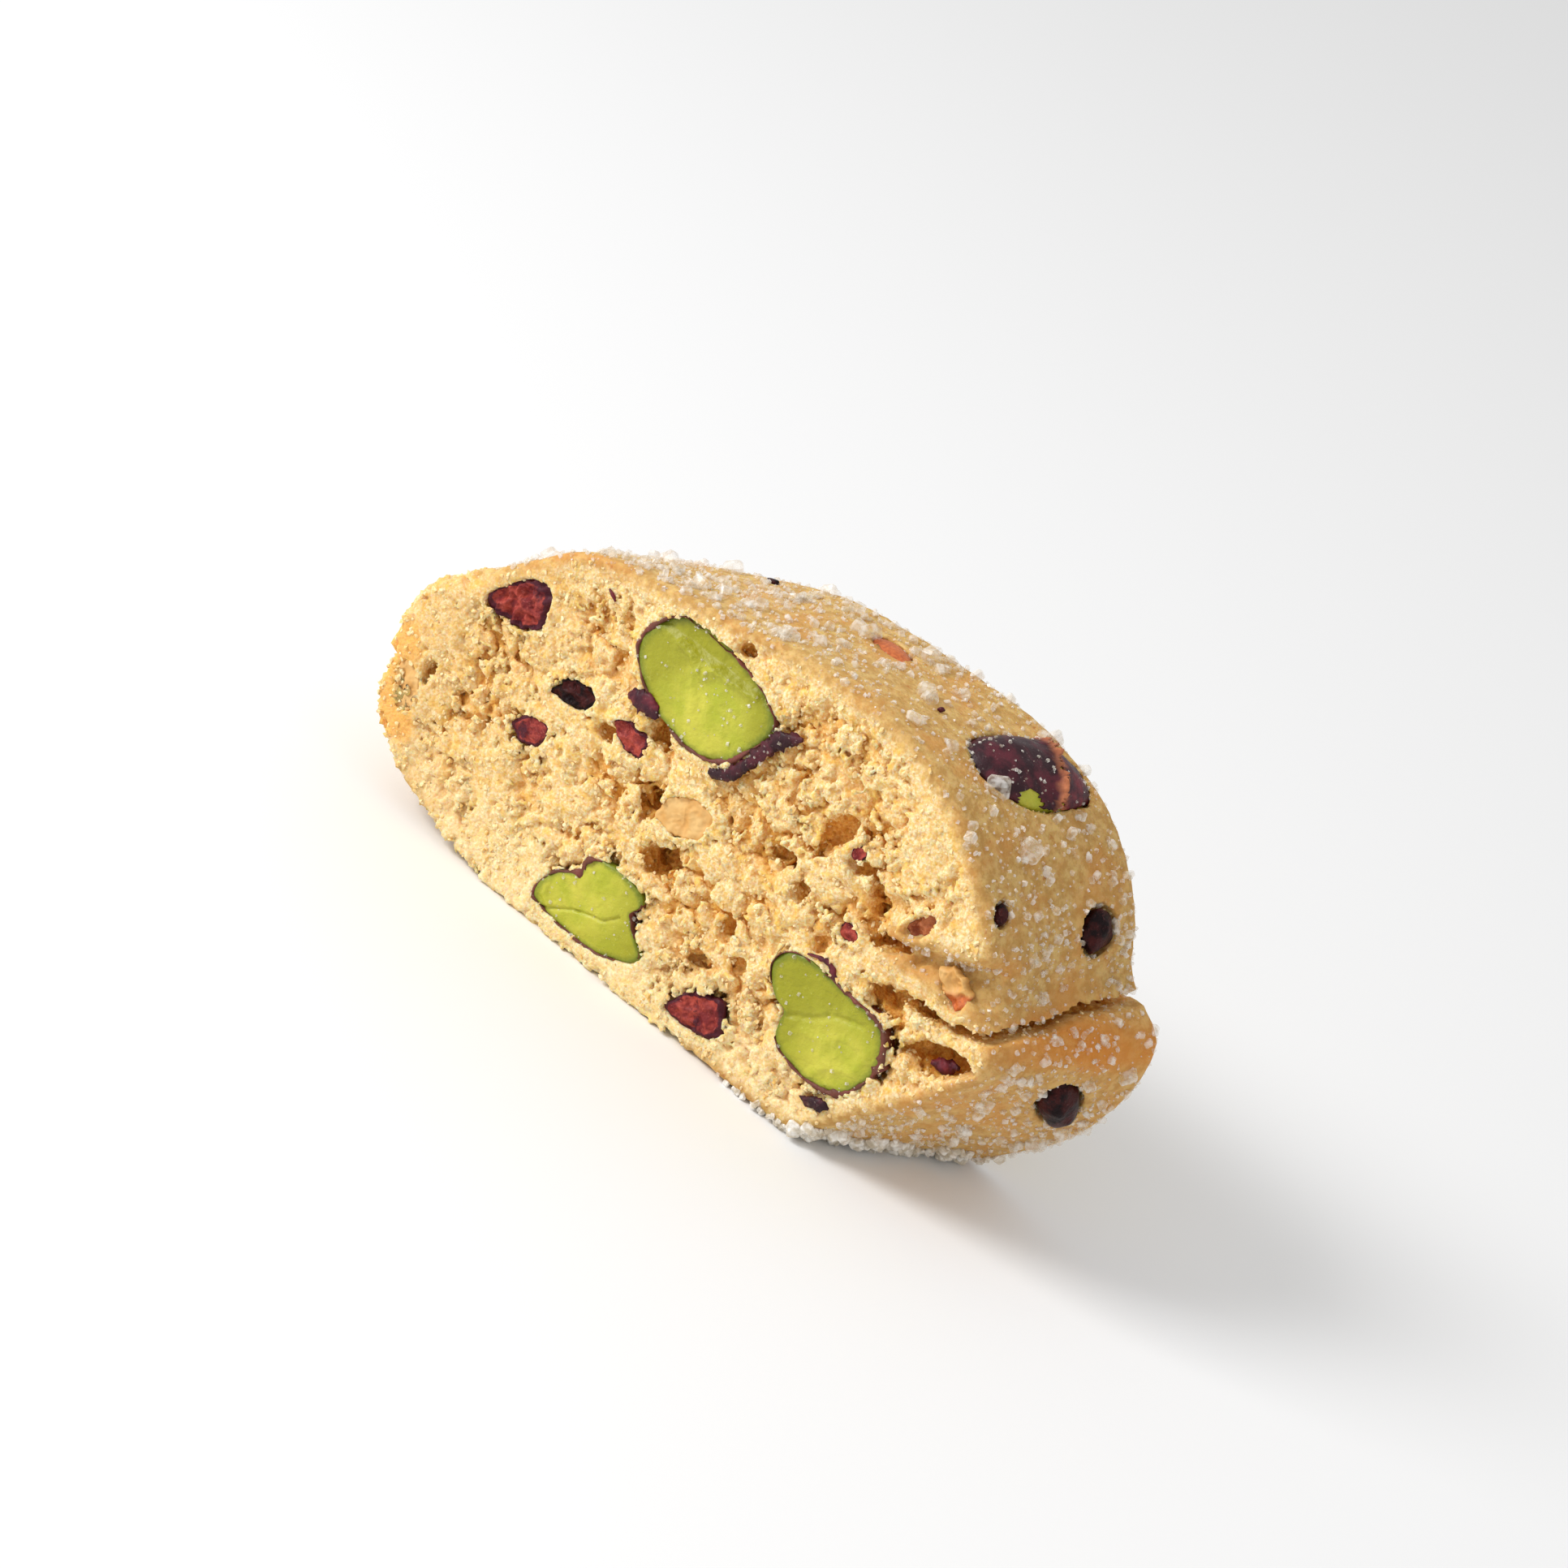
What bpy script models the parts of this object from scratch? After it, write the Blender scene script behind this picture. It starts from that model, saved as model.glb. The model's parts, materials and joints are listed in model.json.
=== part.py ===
"""One slice of a twice-baked log: pale dough with pistachios, dried berries and almonds.

The slice stands on the flat underside of the log, as it stood on the tray. X runs along
the slice, Y through its thickness and Z up. The front cut face looks towards -Y. All
sizes below are in millimetres, and MM turns them into metres.

The dough is one solid: a loft from the front cut face to the rear one, with a pocket for
every nut and fruit, a split along its right side and a few open hollows in its crumb.
Each nut and each piece of fruit is a solid of its own that sits in its pocket.
"""

import math

import bmesh
import bpy
from mathutils import Euler, Vector, noise

MM = 0.001

# Places along X are given from the middle of the front face's underside. The finished
# slice is moved back by this much, so that its own box is centred on the origin.
CENTRE_X = 1.35

# Driving sizes of the slice.
HALF_THICK = 8.5  # from the middle plane to either cut face
EDGE_ROUND = 0.5  # how far the crust turns over into a cut face
FIT_GAP = 0.3  # air between a nut and its pocket
CUT_CLEAR = 1.2  # how far a cutter stands out of the face that it cuts
OUTLINE_POINTS = 64
CRUST_STEPS = 8
FACE_RINGS = (0.985, 0.82, 0.62, 0.42, 0.2)
CRUST_WAVE = 0.35  # unevenness of the baked side
CRUST_WAVE_LENGTH = 7.0
FACE_WAVE = 0.15  # unevenness of a cut face
BASE_FLAT = 0.3  # below this height the crust is the flat underside
CURVE_STEPS = 12  # pieces of curve between two stations of an outline
CHIP_EASE = 0.35  # how far the corners of a chopped piece are rounded
LARGE_PIECE = 3.6  # a kernel's least reach, which takes more points than a chip

# The section of the log, anticlockwise from the left end of the underside. Each station
# is x, z on the front face, then how much further right and up it lies on the rear face,
# because the log was cut on the slant and is lower at its back left.
SECTION = (
    (-15.0, 0.0, 2.0, 0.0),
    (-5.0, 0.0, 2.5, 0.0),
    (6.0, 0.0, 5.0, 0.0),
    (14.0, 0.0, 8.5, 0.0),
    (18.2, 0.2, 10.2, 0.0),
    (21.0, 2.6, 10.0, 0.2),
    (24.4, 6.4, 10.2, 0.6),
    (28.8, 11.8, 8.4, 0.8),
    (31.2, 15.6, 6.6, 1.8),
    (31.3, 17.9, 5.5, 2.6),
    (28.9, 19.4, 3.0, 3.6),
    (28.3, 21.4, 2.9, 3.4),
    (26.9, 24.8, 3.0, 2.9),
    (24.2, 28.0, 3.2, 2.5),
    (20.6, 31.2, 3.4, 2.2),
    (16.0, 34.0, 3.8, 0.8),
    (9.3, 35.6, 5.0, 0.3),
    (1.3, 35.3, 2.5, 0.3),
    (-6.7, 34.0, 0.5, 0.2),
    (-15.0, 32.3, 0.5, -1.6),
    (-21.4, 30.6, 0.5, -2.8),
    (-25.6, 27.2, 0.2, -2.4),
    (-29.3, 23.6, 0.2, -1.2),
    (-33.2, 19.7, 0.6, -0.3),
    (-34.6, 16.4, 1.0, 0.0),
    (-34.5, 11.8, 1.5, 0.0),
    (-33.2, 6.6, 1.8, 0.0),
    (-29.6, 3.0, 2.0, 0.0),
    (-23.0, 1.0, 2.0, -0.3),
)

# Places where the crumb of a cut face tore out: x, z, radius, depth.
FRONT_TEARS = (
    (10.0, 24.3, 2.2, 0.9),
    (17.5, 21.3, 2.4, 1.1),
    (6.8, 19.9, 1.3, 0.6),
    (5.4, 9.6, 2.0, 0.5),
    (-4.4, 32.6, 1.6, 0.5),
)
REAR_TEARS = (
    (-12.0, 23.5, 2.4, 0.9),
    (14.5, 27.5, 2.2, 0.8),
    (-1.0, 9.0, 1.8, 0.6),
)

# Open hollows in the front face: x, z, half width, half height, depth, tilt in degrees.
HOLLOWS = (
    ("hollow_by_split", 27.3, 14.2, 2.9, 1.0, 3.6, 22.0),
    ("hollow_upper", -5.8, 15.9, 0.7, 0.9, 2.2, 0.0),
    ("hollow_lower", -3.1, 12.2, 1.2, 0.8, 2.6, 25.0),
)

# The split along the right side, from its mouth inwards: x, z, half opening. It closes
# up and rises towards the rear.
SPLIT = (
    (35.2, 20.0, 0.5),
    (31.6, 18.9, 0.45),
    (28.8, 17.7, 0.45),
    (25.6, 16.7, 0.4),
    (22.4, 16.2, 0.35),
    (19.8, 15.8, 0.25),
)
SPLIT_SHIFT_X = 3.6
SPLIT_SHIFT_Z = 3.9
SPLIT_REAR_REACH = 0.55
SPLIT_STEPS = 6

# Outlines of the three pistachios cut through by the front face, round their own middle.
KERNEL_OVAL = (
    (-7.2, -0.3), (-5.3, -2.7), (-2.2, -4.4), (1.6, -5.0), (4.6, -4.0), (6.2, -1.8),
    (7.4, 1.2), (5.6, 3.0), (2.5, 4.1), (-1.6, 4.7), (-4.8, 4.2), (-6.6, 2.0),
)
KERNEL_HEART = (
    (-5.9, -2.4), (-2.0, -3.0), (2.0, -2.8), (5.8, -1.0), (4.6, 0.6), (3.2, 2.2),
    (3.9, 3.8), (1.8, 4.6), (-1.2, 4.5), (-2.7, 3.6), (-2.9, 2.0), (-4.6, 1.2),
    (-5.7, -0.6),
)
KERNEL_KIDNEY = (
    (-6.5, 1.6), (-5.8, 3.4), (-3.6, 4.1), (0.8, 3.9), (4.4, 3.5), (5.9, 1.4),
    (5.7, -1.4), (4.0, -4.0), (0.8, -4.8), (-2.4, -4.2), (-3.6, -2.8), (-3.4, -1.3),
    (-5.2, -0.4),
)

# Outlines of the chopped fruit and nuts in the front face, round their own middle.
CHIP_CORNER = ((-3.1, -2.1), (-1.4, 0.8), (0.8, 2.6), (2.6, 2.3), (2.9, -0.8), (0.6, -2.2))
CHIP_BLACK = ((-2.4, -1.2), (-1.3, 0.9), (1.2, 1.6), (2.4, 0.9), (1.2, -0.9), (-0.8, -1.1))
CHIP_SMALL = ((-2.0, -0.5), (-0.6, 1.3), (1.8, 1.5), (1.5, -0.7), (-0.4, -1.5))
CHIP_TORN = ((-2.1, 0.3), (-1.1, 1.3), (1.7, 1.1), (2.0, -0.9), (0.1, -1.1))
CHIP_BASE = ((-3.0, -1.6), (-1.2, 1.4), (1.8, 2.3), (3.1, -0.5), (0.3, -1.7))
CHIP_ALMOND = ((-2.4, -1.6), (-2.4, 0.4), (-0.2, 2.0), (2.3, 1.9), (2.2, -0.6), (-0.2, -2.0))
CHIP_END = ((-1.4, -0.6), (-1.6, 2.2), (0.4, 1.9), (1.8, -0.6), (0.8, -2.4), (-0.4, -2.2))

# What a cut face goes through. Node, material, face, x, z, outline, depth. An outline is
# a tuple of points, or the width, height, tilt and seed of an uneven chip.
FACE_PIECES = (
    ("pistachio_top", "pistachio", "front", -6.1, 27.1, KERNEL_OVAL, 4.4),
    ("pistachio_left", "pistachio", "front", -5.9, 4.6, KERNEL_HEART, 3.8),
    ("pistachio_right", "pistachio", "front", 17.0, 10.1, KERNEL_KIDNEY, 4.4),
    ("cranberry_corner", "berry", "front", -25.0, 23.1, CHIP_CORNER, 2.6),
    ("cranberry_dark", "dark_berry", "front", -16.6, 19.3, CHIP_BLACK, 1.8),
    ("cranberry_small", "berry", "front", -18.9, 14.1, CHIP_SMALL, 2.0),
    ("cranberry_torn", "berry", "front", -10.3, 19.3, CHIP_TORN, 2.0),
    ("cranberry_base", "berry", "front", 6.4, 3.4, CHIP_BASE, 2.6),
    ("cranberry_speck", "berry", "front", 12.6, 24.2, (1.9, 1.3, 45.0, 6), 1.4),
    ("cranberry_chip", "berry", "front", 15.1, 18.2, (1.9, 1.6, 10.0, 7), 1.4),
    ("cranberry_pale", "brown_fruit", "front", 20.2, 22.5, (3.4, 2.0, 55.0, 8), 1.8),
    ("almond_middle", "almond", "front", -2.4, 16.9, CHIP_ALMOND, 2.6),
    ("almond_split", "almond", "front", 25.4, 20.0, (3.6, 2.4, -38.0, 10), 2.4),
    ("almond_end", "almond", "front", -31.2, 10.0, CHIP_END, 2.6),
    ("pistachio_rear_high", "pistachio", "rear", 12.0, 26.0, (12.5, 8.6, -20.0, 12), 4.2),
    ("pistachio_rear_low", "pistachio", "rear", -17.5, 9.5, (11.0, 8.0, 32.0, 13), 4.0),
    ("pistachio_rear_end", "pistachio", "rear", 26.5, 9.0, (8.4, 6.2, 48.0, 14), 3.6),
    ("cranberry_rear_a", "berry", "rear", -25.0, 17.6, (4.6, 3.4, 60.0, 15), 2.2),
    ("cranberry_rear_b", "berry", "rear", 2.5, 15.0, (4.4, 2.8, -25.0, 16), 2.0),
    ("cranberry_rear_c", "dark_berry", "rear", 4.5, 29.6, (3.6, 2.2, 15.0, 17), 1.8),
    ("cranberry_rear_d", "berry", "rear", 13.5, 4.4, (5.0, 3.0, 10.0, 18), 2.2),
    ("almond_rear_a", "almond", "rear", -8.5, 27.0, (5.0, 3.4, -30.0, 19), 2.4),
    ("almond_rear_b", "almond", "rear", 19.5, 16.6, (3.6, 2.8, 25.0, 20), 2.2),
)

# What shows on the baked side. Node, material, place x, y, z, size along itself, across
# itself and through the crust, the way it faces (degrees up from +X, then degrees of lean
# towards the front), its turn in the crust and its seed.
CRUST_PIECES = (
    ("pistachio_crust", "pistachio", (17.9, 2.2, 33.7), (13.2, 7.4, 4.8), 72.0, 6.0, -30.0, 31),
    ("cranberry_shoulder", "dark_berry", (28.7, 4.0, 26.0), (4.8, 4.4, 3.2), 22.0, 10.0, 74.0, 33),
    ("cranberry_lobe", "dark_berry", (33.5, 2.6, 12.7), (8.0, 4.2, 5.2), -28.0, 32.0, -38.0, 34),
    ("cranberry_nick", "dark_berry", (25.1, -6.6, 27.1), (2.6, 1.8, 1.9), 42.0, 10.0, 60.0, 35),
    ("cranberry_ridge", "dark_berry", (-11.6, 5.4, 32.2), (2.0, 1.2, 1.3), 100.0, 0.0, 80.0, 36),
    ("almond_crust", "almond", (2.4, 2.6, 34.8), (5.4, 3.4, 1.8), 92.0, 0.0, 70.0, 37),
    ("cranberry_far_end", "berry", (-33.5, 2.4, 14.6), (4.0, 3.0, 2.2), 178.0, 0.0, 60.0, 38),
    ("cranberry_far_top", "dark_berry", (-29.6, 2.6, 21.6), (3.6, 2.4, 1.8), 134.0, 0.0, 25.0, 39),
)

COLOURS = {
    "dough": ((0.78, 0.58, 0.30), 0.85),
    "pistachio": ((0.42, 0.48, 0.04), 0.55),
    "berry": ((0.17, 0.035, 0.035), 0.5),
    "dark_berry": ((0.03, 0.012, 0.02), 0.4),
    "brown_fruit": ((0.33, 0.14, 0.06), 0.55),
    "almond": ((0.83, 0.52, 0.20), 0.6),
}


def clear_scene():
    for obj in list(bpy.data.objects):
        bpy.data.objects.remove(obj)


def finish_for(name, made={}):
    """The material of this name, made once."""
    if name not in made:
        colour, roughness = COLOURS[name]
        mat = bpy.data.materials.new(name)
        mat.use_nodes = True
        shader = mat.node_tree.nodes["Principled BSDF"]
        shader.inputs["Base Color"].default_value = (*colour, 1.0)
        shader.inputs["Roughness"].default_value = roughness
        shader.inputs["Metallic"].default_value = 0.0
        made[name] = mat
    return made[name]


def add_object(name, bm, finish=None):
    """Turns a bmesh in millimetres into a scene object, faces outwards, shaded smooth."""
    bm.normal_update()
    bmesh.ops.recalc_face_normals(bm, faces=bm.faces)
    bmesh.ops.translate(bm, vec=(-CENTRE_X, 0.0, 0.0), verts=bm.verts)
    bmesh.ops.scale(bm, vec=(MM, MM, MM), verts=bm.verts)
    mesh = bpy.data.meshes.new(name)
    bm.to_mesh(mesh)
    bm.free()
    mesh.shade_smooth()
    mesh.set_sharp_from_angle(angle=math.radians(40.0))
    if finish:
        mesh.materials.append(finish_for(finish))
    obj = bpy.data.objects.new(name, mesh)
    bpy.context.scene.collection.objects.link(obj)
    return obj


def smooth_loop(points, count, ease=1.0):
    """A closed curve through the points, at evenly spaced places along it.

    With ease 1 it is a Catmull-Rom curve, and with ease 0 it keeps its corners.
    """
    size = len(points)
    fine = []
    for i in range(size):
        before, start, end, after = (Vector(points[(i + k - 1) % size]) for k in range(4))
        leave = (end - before) * 0.5 * ease
        arrive = (after - start) * 0.5 * ease
        for step in range(CURVE_STEPS):
            t = step / CURVE_STEPS
            blend = t * t * (3.0 - 2.0 * t)
            bend = leave * (t * (1.0 - t) ** 2) - arrive * (t * t * (1.0 - t))
            fine.append(start.lerp(end, blend) + bend)
    fine.append(fine[0])
    along = [0.0]
    for a, b in zip(fine, fine[1:]):
        along.append(along[-1] + (b - a).length)
    loop, k = [], 0
    for i in range(count):
        want = along[-1] * i / count
        while along[k + 1] < want:
            k += 1
        loop.append(fine[k].lerp(fine[k + 1], (want - along[k]) / (along[k + 1] - along[k])))
    return loop


def grown_loop(loop, by):
    """The closed loop moved outwards by a distance, along its own normals."""
    size = len(loop)
    area = sum(a.x * b.y - b.x * a.y for a, b in zip(loop, loop[1:] + loop[:1]))
    turn = 1.0 if area > 0 else -1.0
    grown = []
    for i, point in enumerate(loop):
        along = loop[(i + 1) % size] - loop[i - 1]
        grown.append(point + Vector((along.y, -along.x)).normalized() * by * turn)
    return grown


def solid_of_rings(rings, start=None, end=None):
    """A closed bmesh through rings of equal length, its ends drawn in to a point if given."""
    bm = bmesh.new()
    rows = [[bm.verts.new(p) for p in ring] for ring in rings]
    size = len(rows[0])
    for low, high in zip(rows, rows[1:]):
        for i in range(size):
            j = (i + 1) % size
            bm.faces.new((low[i], low[j], high[j], high[i]))
    for row, tip in ((rows[0], start), (rows[-1], end)):
        if tip is None:
            bm.faces.new(row)
            continue
        point = bm.verts.new(tip)
        for i in range(size):
            bm.faces.new((row[i], row[(i + 1) % size], point))
    return bm


def section_at(share):
    """The outline of the dough, with share 0 at the front cut face and 1 at the rear one."""
    stations = [(x + dx * share, z + dz * share) for x, z, dx, dz in SECTION]
    loop = smooth_loop(stations, OUTLINE_POINTS)
    y = (2.0 * share - 1.0) * HALF_THICK
    ring = []
    middle = Vector((0.0, 17.0))
    for point in loop:
        if point.y < BASE_FLAT:
            ring.append(Vector((point.x, y, 0.0)))
            continue
        place = Vector((point.x, y, point.y)) / CRUST_WAVE_LENGTH
        swell = noise.noise(place) * CRUST_WAVE * min(1.0, point.y / 3.0)
        outward = (point - middle).normalized() * swell
        ring.append(Vector((point.x + outward.x, y, max(0.0, point.y + outward.y))))
    return ring


def face_ring(edge, scale, side, tears):
    """One ring of a cut face: the edge drawn in towards the middle, with the torn places."""
    middle = sum(edge, Vector()) / len(edge)
    ring = []
    for point in edge:
        p = middle + (point - middle) * scale
        p.y = side * (HALF_THICK - tear_depth(p.x, p.z, tears))
        ring.append(p)
    return ring


def tear_depth(x, z, tears):
    wave = FACE_WAVE * (0.5 + 0.5 * noise.noise(Vector((x, z, 5.0)) / 4.0))
    for tx, tz, radius, depth in tears:
        far = math.hypot(x - tx, z - tz) / (1.6 * radius)
        if far < 1.0:
            wave += depth * (0.5 + 0.5 * math.cos(math.pi * far))
    return wave


def dough_block():
    """The loft from cut face to cut face, before anything is cut out of it."""
    rounding = EDGE_ROUND / HALF_THICK / 2.0
    shares = [rounding + (1.0 - 2.0 * rounding) * i / (CRUST_STEPS - 1) for i in range(CRUST_STEPS)]
    crust = [section_at(share) for share in shares]
    front = [face_ring(crust[0], scale, -1.0, FRONT_TEARS) for scale in FACE_RINGS]
    rear = [face_ring(crust[-1], scale, 1.0, REAR_TEARS) for scale in FACE_RINGS]
    front_tip = face_ring(crust[0], 0.0, -1.0, FRONT_TEARS)[0]
    rear_tip = face_ring(crust[-1], 0.0, 1.0, REAR_TEARS)[0]
    rings = front[::-1] + crust + rear
    return add_object("dough", solid_of_rings(rings, front_tip, rear_tip), "dough")


def chip_outline(width, height, tilt, seed):
    """The outline of an uneven chip, round its own middle."""
    points = []
    for i in range(9):
        turn = math.tau * i / 9
        uneven = 1.0 + 0.45 * noise.noise(Vector((math.cos(turn), math.sin(turn), seed * 3.7)))
        x = 0.5 * width * math.cos(turn) * uneven
        z = 0.5 * height * math.sin(turn) * uneven
        lean = math.radians(tilt)
        points.append((x * math.cos(lean) - z * math.sin(lean), x * math.sin(lean) + z * math.cos(lean)))
    return points


def face_piece_rings(x, z, outline, depth, side, grow):
    """Rings from the cut face inwards, each smaller than the last, as a nut's belly is."""
    drawn = isinstance(outline[0], tuple)
    points = outline if drawn else chip_outline(*outline)
    large = max(math.hypot(*p) for p in points) > LARGE_PIECE
    count, levels, ease = (26, 4, 1.0) if large else (12, 3, CHIP_EASE)
    loop = grown_loop(smooth_loop(points, count, ease), grow)
    rings = []
    if grow:
        rings.append([Vector((x + p.x, side * (HALF_THICK + CUT_CLEAR), z + p.y)) for p in loop])
    for level in range(levels):
        share = level / levels
        shrink = math.sqrt(1.0 - share * share)
        y = side * (HALF_THICK - share * (depth + grow))
        rings.append([Vector((x + p.x * shrink, y, z + p.y * shrink)) for p in loop])
    tip = Vector((x, side * (HALF_THICK - depth - grow), z))
    return rings, tip


def nugget(size, heading, lean, turn, place, seed, grow):
    """A lumpy, rounded piece lying in the crust, as a bmesh."""
    bm = bmesh.new()
    bmesh.ops.create_icosphere(bm, subdivisions=2, radius=1.0)
    lie = Euler((0.0, -math.radians(heading), 0.0)).to_matrix()
    tip = Euler((0.0, 0.0, -math.radians(lean))).to_matrix()
    spin = Euler((math.radians(turn), 0.0, 0.0)).to_matrix()
    half = Vector(size) * 0.5
    for vert in bm.verts:
        way = vert.co.normalized()
        uneven = 1.0 + 0.16 * noise.noise(way * 1.3 + Vector((seed, 0.0, 0.0)))
        out = Vector((way.x * half.z, way.y * half.x, way.z * half.y)) * uneven
        normal = Vector((way.x / half.z, way.y / half.x, way.z / half.y)).normalized()
        vert.co = lie @ tip @ spin @ (out + normal * grow) + Vector(place)
    return bm


def cut_out(dough, name, bm):
    """Takes a shape out of the dough with a Boolean."""
    cutter = add_object("cut_" + name, bm)
    cutter.hide_render = True
    cutter.display_type = "WIRE"
    step = dough.modifiers.new(name, "BOOLEAN")
    step.operation = "DIFFERENCE"
    step.solver = "EXACT"
    step.object = cutter


def split_rings():
    """The wedge of air of the split, ring by ring from the front to the rear."""
    rings = []
    for i in range(SPLIT_STEPS):
        share = i / (SPLIT_STEPS - 1)
        y = (2.0 * share - 1.0) * (HALF_THICK + CUT_CLEAR)
        mouth = Vector((SPLIT[0][0], SPLIT[0][1]))
        reach = 1.0 - (1.0 - SPLIT_REAR_REACH) * share
        shift = Vector((SPLIT_SHIFT_X * share, SPLIT_SHIFT_Z * share))
        roof, floor = [], []
        for x, z, half in SPLIT:
            path = mouth + (Vector((x, z)) - mouth) * reach + shift
            path.y += 0.4 * noise.noise(Vector((x, y, 1.0)) / 5.0)
            roof.append(Vector((path.x, y, path.y + half)))
            floor.append(Vector((path.x, y, path.y - half)))
        rings.append(roof + floor[::-1])
    return rings


def build():
    clear_scene()
    dough = dough_block()
    cut_out(dough, "split", solid_of_rings(split_rings()))
    for name, x, z, half_x, half_z, depth, tilt in HOLLOWS:
        outline = (2.0 * half_x, 2.0 * half_z, tilt, len(name))
        rings, tip = face_piece_rings(x, z, outline, depth, -1.0, FIT_GAP)
        cut_out(dough, name, solid_of_rings(rings, None, tip))
    for name, finish, face, x, z, outline, depth in FACE_PIECES:
        side = -1.0 if face == "front" else 1.0
        rings, tip = face_piece_rings(x, z, outline, depth, side, 0.0)
        add_object(name, solid_of_rings(rings, None, tip), finish)
        rings, tip = face_piece_rings(x, z, outline, depth, side, FIT_GAP)
        cut_out(dough, name, solid_of_rings(rings, None, tip))
    for name, finish, place, size, heading, lean, turn, seed in CRUST_PIECES:
        add_object(name, nugget(size, heading, lean, turn, place, seed, 0.0), finish)
        cut_out(dough, name, nugget(size, heading, lean, turn, place, seed, FIT_GAP))


build()
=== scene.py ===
# %% [markdown]
# # A slice of twice-baked biscuit with pistachios and dried fruit
# A log of sweet dough is baked, cut across into slices, and the slices are baked again. So
# a slice has two kinds of surface: the two cut faces are torn crumb, and the baked side
# round them is a thin, smooth crust with sugar on it. Nuts and fruit that the knife met are
# cut through and lie level with the crumb, and a few more show through the crust.
#
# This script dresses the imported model, which holds the plain dough and each nut and piece
# of fruit at its true place. Every size below is in millimetres, turned into metres by MM.

import json
import math

import bmesh
import bpy
import numpy as np
from mathutils import Matrix, Vector, noise

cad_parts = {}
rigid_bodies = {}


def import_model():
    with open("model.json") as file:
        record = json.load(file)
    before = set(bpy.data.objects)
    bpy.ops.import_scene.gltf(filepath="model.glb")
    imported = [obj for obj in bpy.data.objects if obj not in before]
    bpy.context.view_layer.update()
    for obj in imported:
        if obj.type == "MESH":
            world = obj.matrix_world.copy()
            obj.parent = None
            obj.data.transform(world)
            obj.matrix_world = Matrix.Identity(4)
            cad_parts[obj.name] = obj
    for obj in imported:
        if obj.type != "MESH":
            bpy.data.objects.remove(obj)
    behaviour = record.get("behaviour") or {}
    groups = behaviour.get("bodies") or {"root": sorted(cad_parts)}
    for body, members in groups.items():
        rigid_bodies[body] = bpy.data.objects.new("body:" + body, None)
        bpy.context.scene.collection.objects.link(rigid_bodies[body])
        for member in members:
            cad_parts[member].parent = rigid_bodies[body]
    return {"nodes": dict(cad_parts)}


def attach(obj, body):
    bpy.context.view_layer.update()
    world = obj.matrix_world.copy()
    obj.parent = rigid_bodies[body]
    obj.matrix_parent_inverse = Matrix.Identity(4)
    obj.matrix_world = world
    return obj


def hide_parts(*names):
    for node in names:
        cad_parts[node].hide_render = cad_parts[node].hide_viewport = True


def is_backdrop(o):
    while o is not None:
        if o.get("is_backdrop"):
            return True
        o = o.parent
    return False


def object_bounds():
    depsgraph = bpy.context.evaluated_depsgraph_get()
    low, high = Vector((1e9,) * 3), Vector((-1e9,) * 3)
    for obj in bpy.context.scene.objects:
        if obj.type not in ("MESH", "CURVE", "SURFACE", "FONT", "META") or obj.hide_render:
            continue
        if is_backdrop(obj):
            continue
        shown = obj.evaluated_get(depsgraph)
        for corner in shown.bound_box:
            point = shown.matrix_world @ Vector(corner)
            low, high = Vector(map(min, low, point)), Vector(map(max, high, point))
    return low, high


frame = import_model()
cad_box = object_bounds()
nodes = frame["nodes"]
MM = 0.001
TO_MM = (1.0 / MM,) * 3
FACE = 8.5  # from the middle of the slice to either cut face
print(f"{len(nodes)} nodes, box {[round(v / MM, 1) for v in cad_box[1] - cad_box[0]]} mm")

# %% [markdown]
# ## Camera
# The slice stands on the flat underside of the log and is seen from its front left and
# from above. The camera is rolled, so that the slice lies tilted in the picture. It is
# built from three directions, right, up and back, because a rolled camera that looks at a
# point is easier to get right that way than with angles.

# %% Camera
SWING = math.radians(25.0)
HEIGHT = math.radians(25.0)
ROLL = math.radians(27.4)
AIM = Vector((-1.05, 0.0, 20.85)) * MM
DISTANCE = 358.0 * MM
LENS = 100.0
FILM = 36.0


def aim_camera():
    level = Vector((math.cos(SWING), math.sin(SWING), 0.0))
    back = Vector((
        math.sin(SWING) * math.cos(HEIGHT), -math.cos(SWING) * math.cos(HEIGHT), math.sin(HEIGHT),
    ))
    upright = back.cross(level)
    right = math.cos(ROLL) * level + math.sin(ROLL) * upright
    up = math.cos(ROLL) * upright - math.sin(ROLL) * level
    camera = bpy.data.objects.new("camera", bpy.data.cameras.new("camera"))
    camera.data.lens = LENS
    camera.data.sensor_width = FILM
    camera.data.clip_start = 10.0 * MM
    camera.matrix_world = Matrix((right, up, back)).transposed().to_4x4()
    camera.matrix_world.translation = AIM + back * DISTANCE
    bpy.context.scene.collection.objects.link(camera)
    bpy.context.scene.camera = camera
    return right, up, back


right, up, back = aim_camera()
print("camera looks along", [round(v, 2) for v in -back])

# %% [markdown]
# ## Floor and light
# A pale floor and a bright, even sky take away hard shadows, as in a light tent. One big
# soft lamp from the upper left of the picture gives the crumb its relief: each small pit
# is shaded on its upper side.

# %% Floor and light
FLOOR_GREY = 0.93
FLOOR_SPAN = 6.0  # metres
SKY_STRENGTH = 0.68
LAMP_WAY = (up * 1.1 + back * 0.65 - right * 0.75).normalized()
LAMP_SPAN = 220.0 * MM
LAMP_AWAY = 600.0 * MM
LAMP_POWER = 2.6


def set_sockets(sockets, **values):
    """Sets constants on sockets. An underscore in a name stands for a space."""
    for name, value in values.items():
        sockets[name.replace("_", " ")].default_value = value


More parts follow.
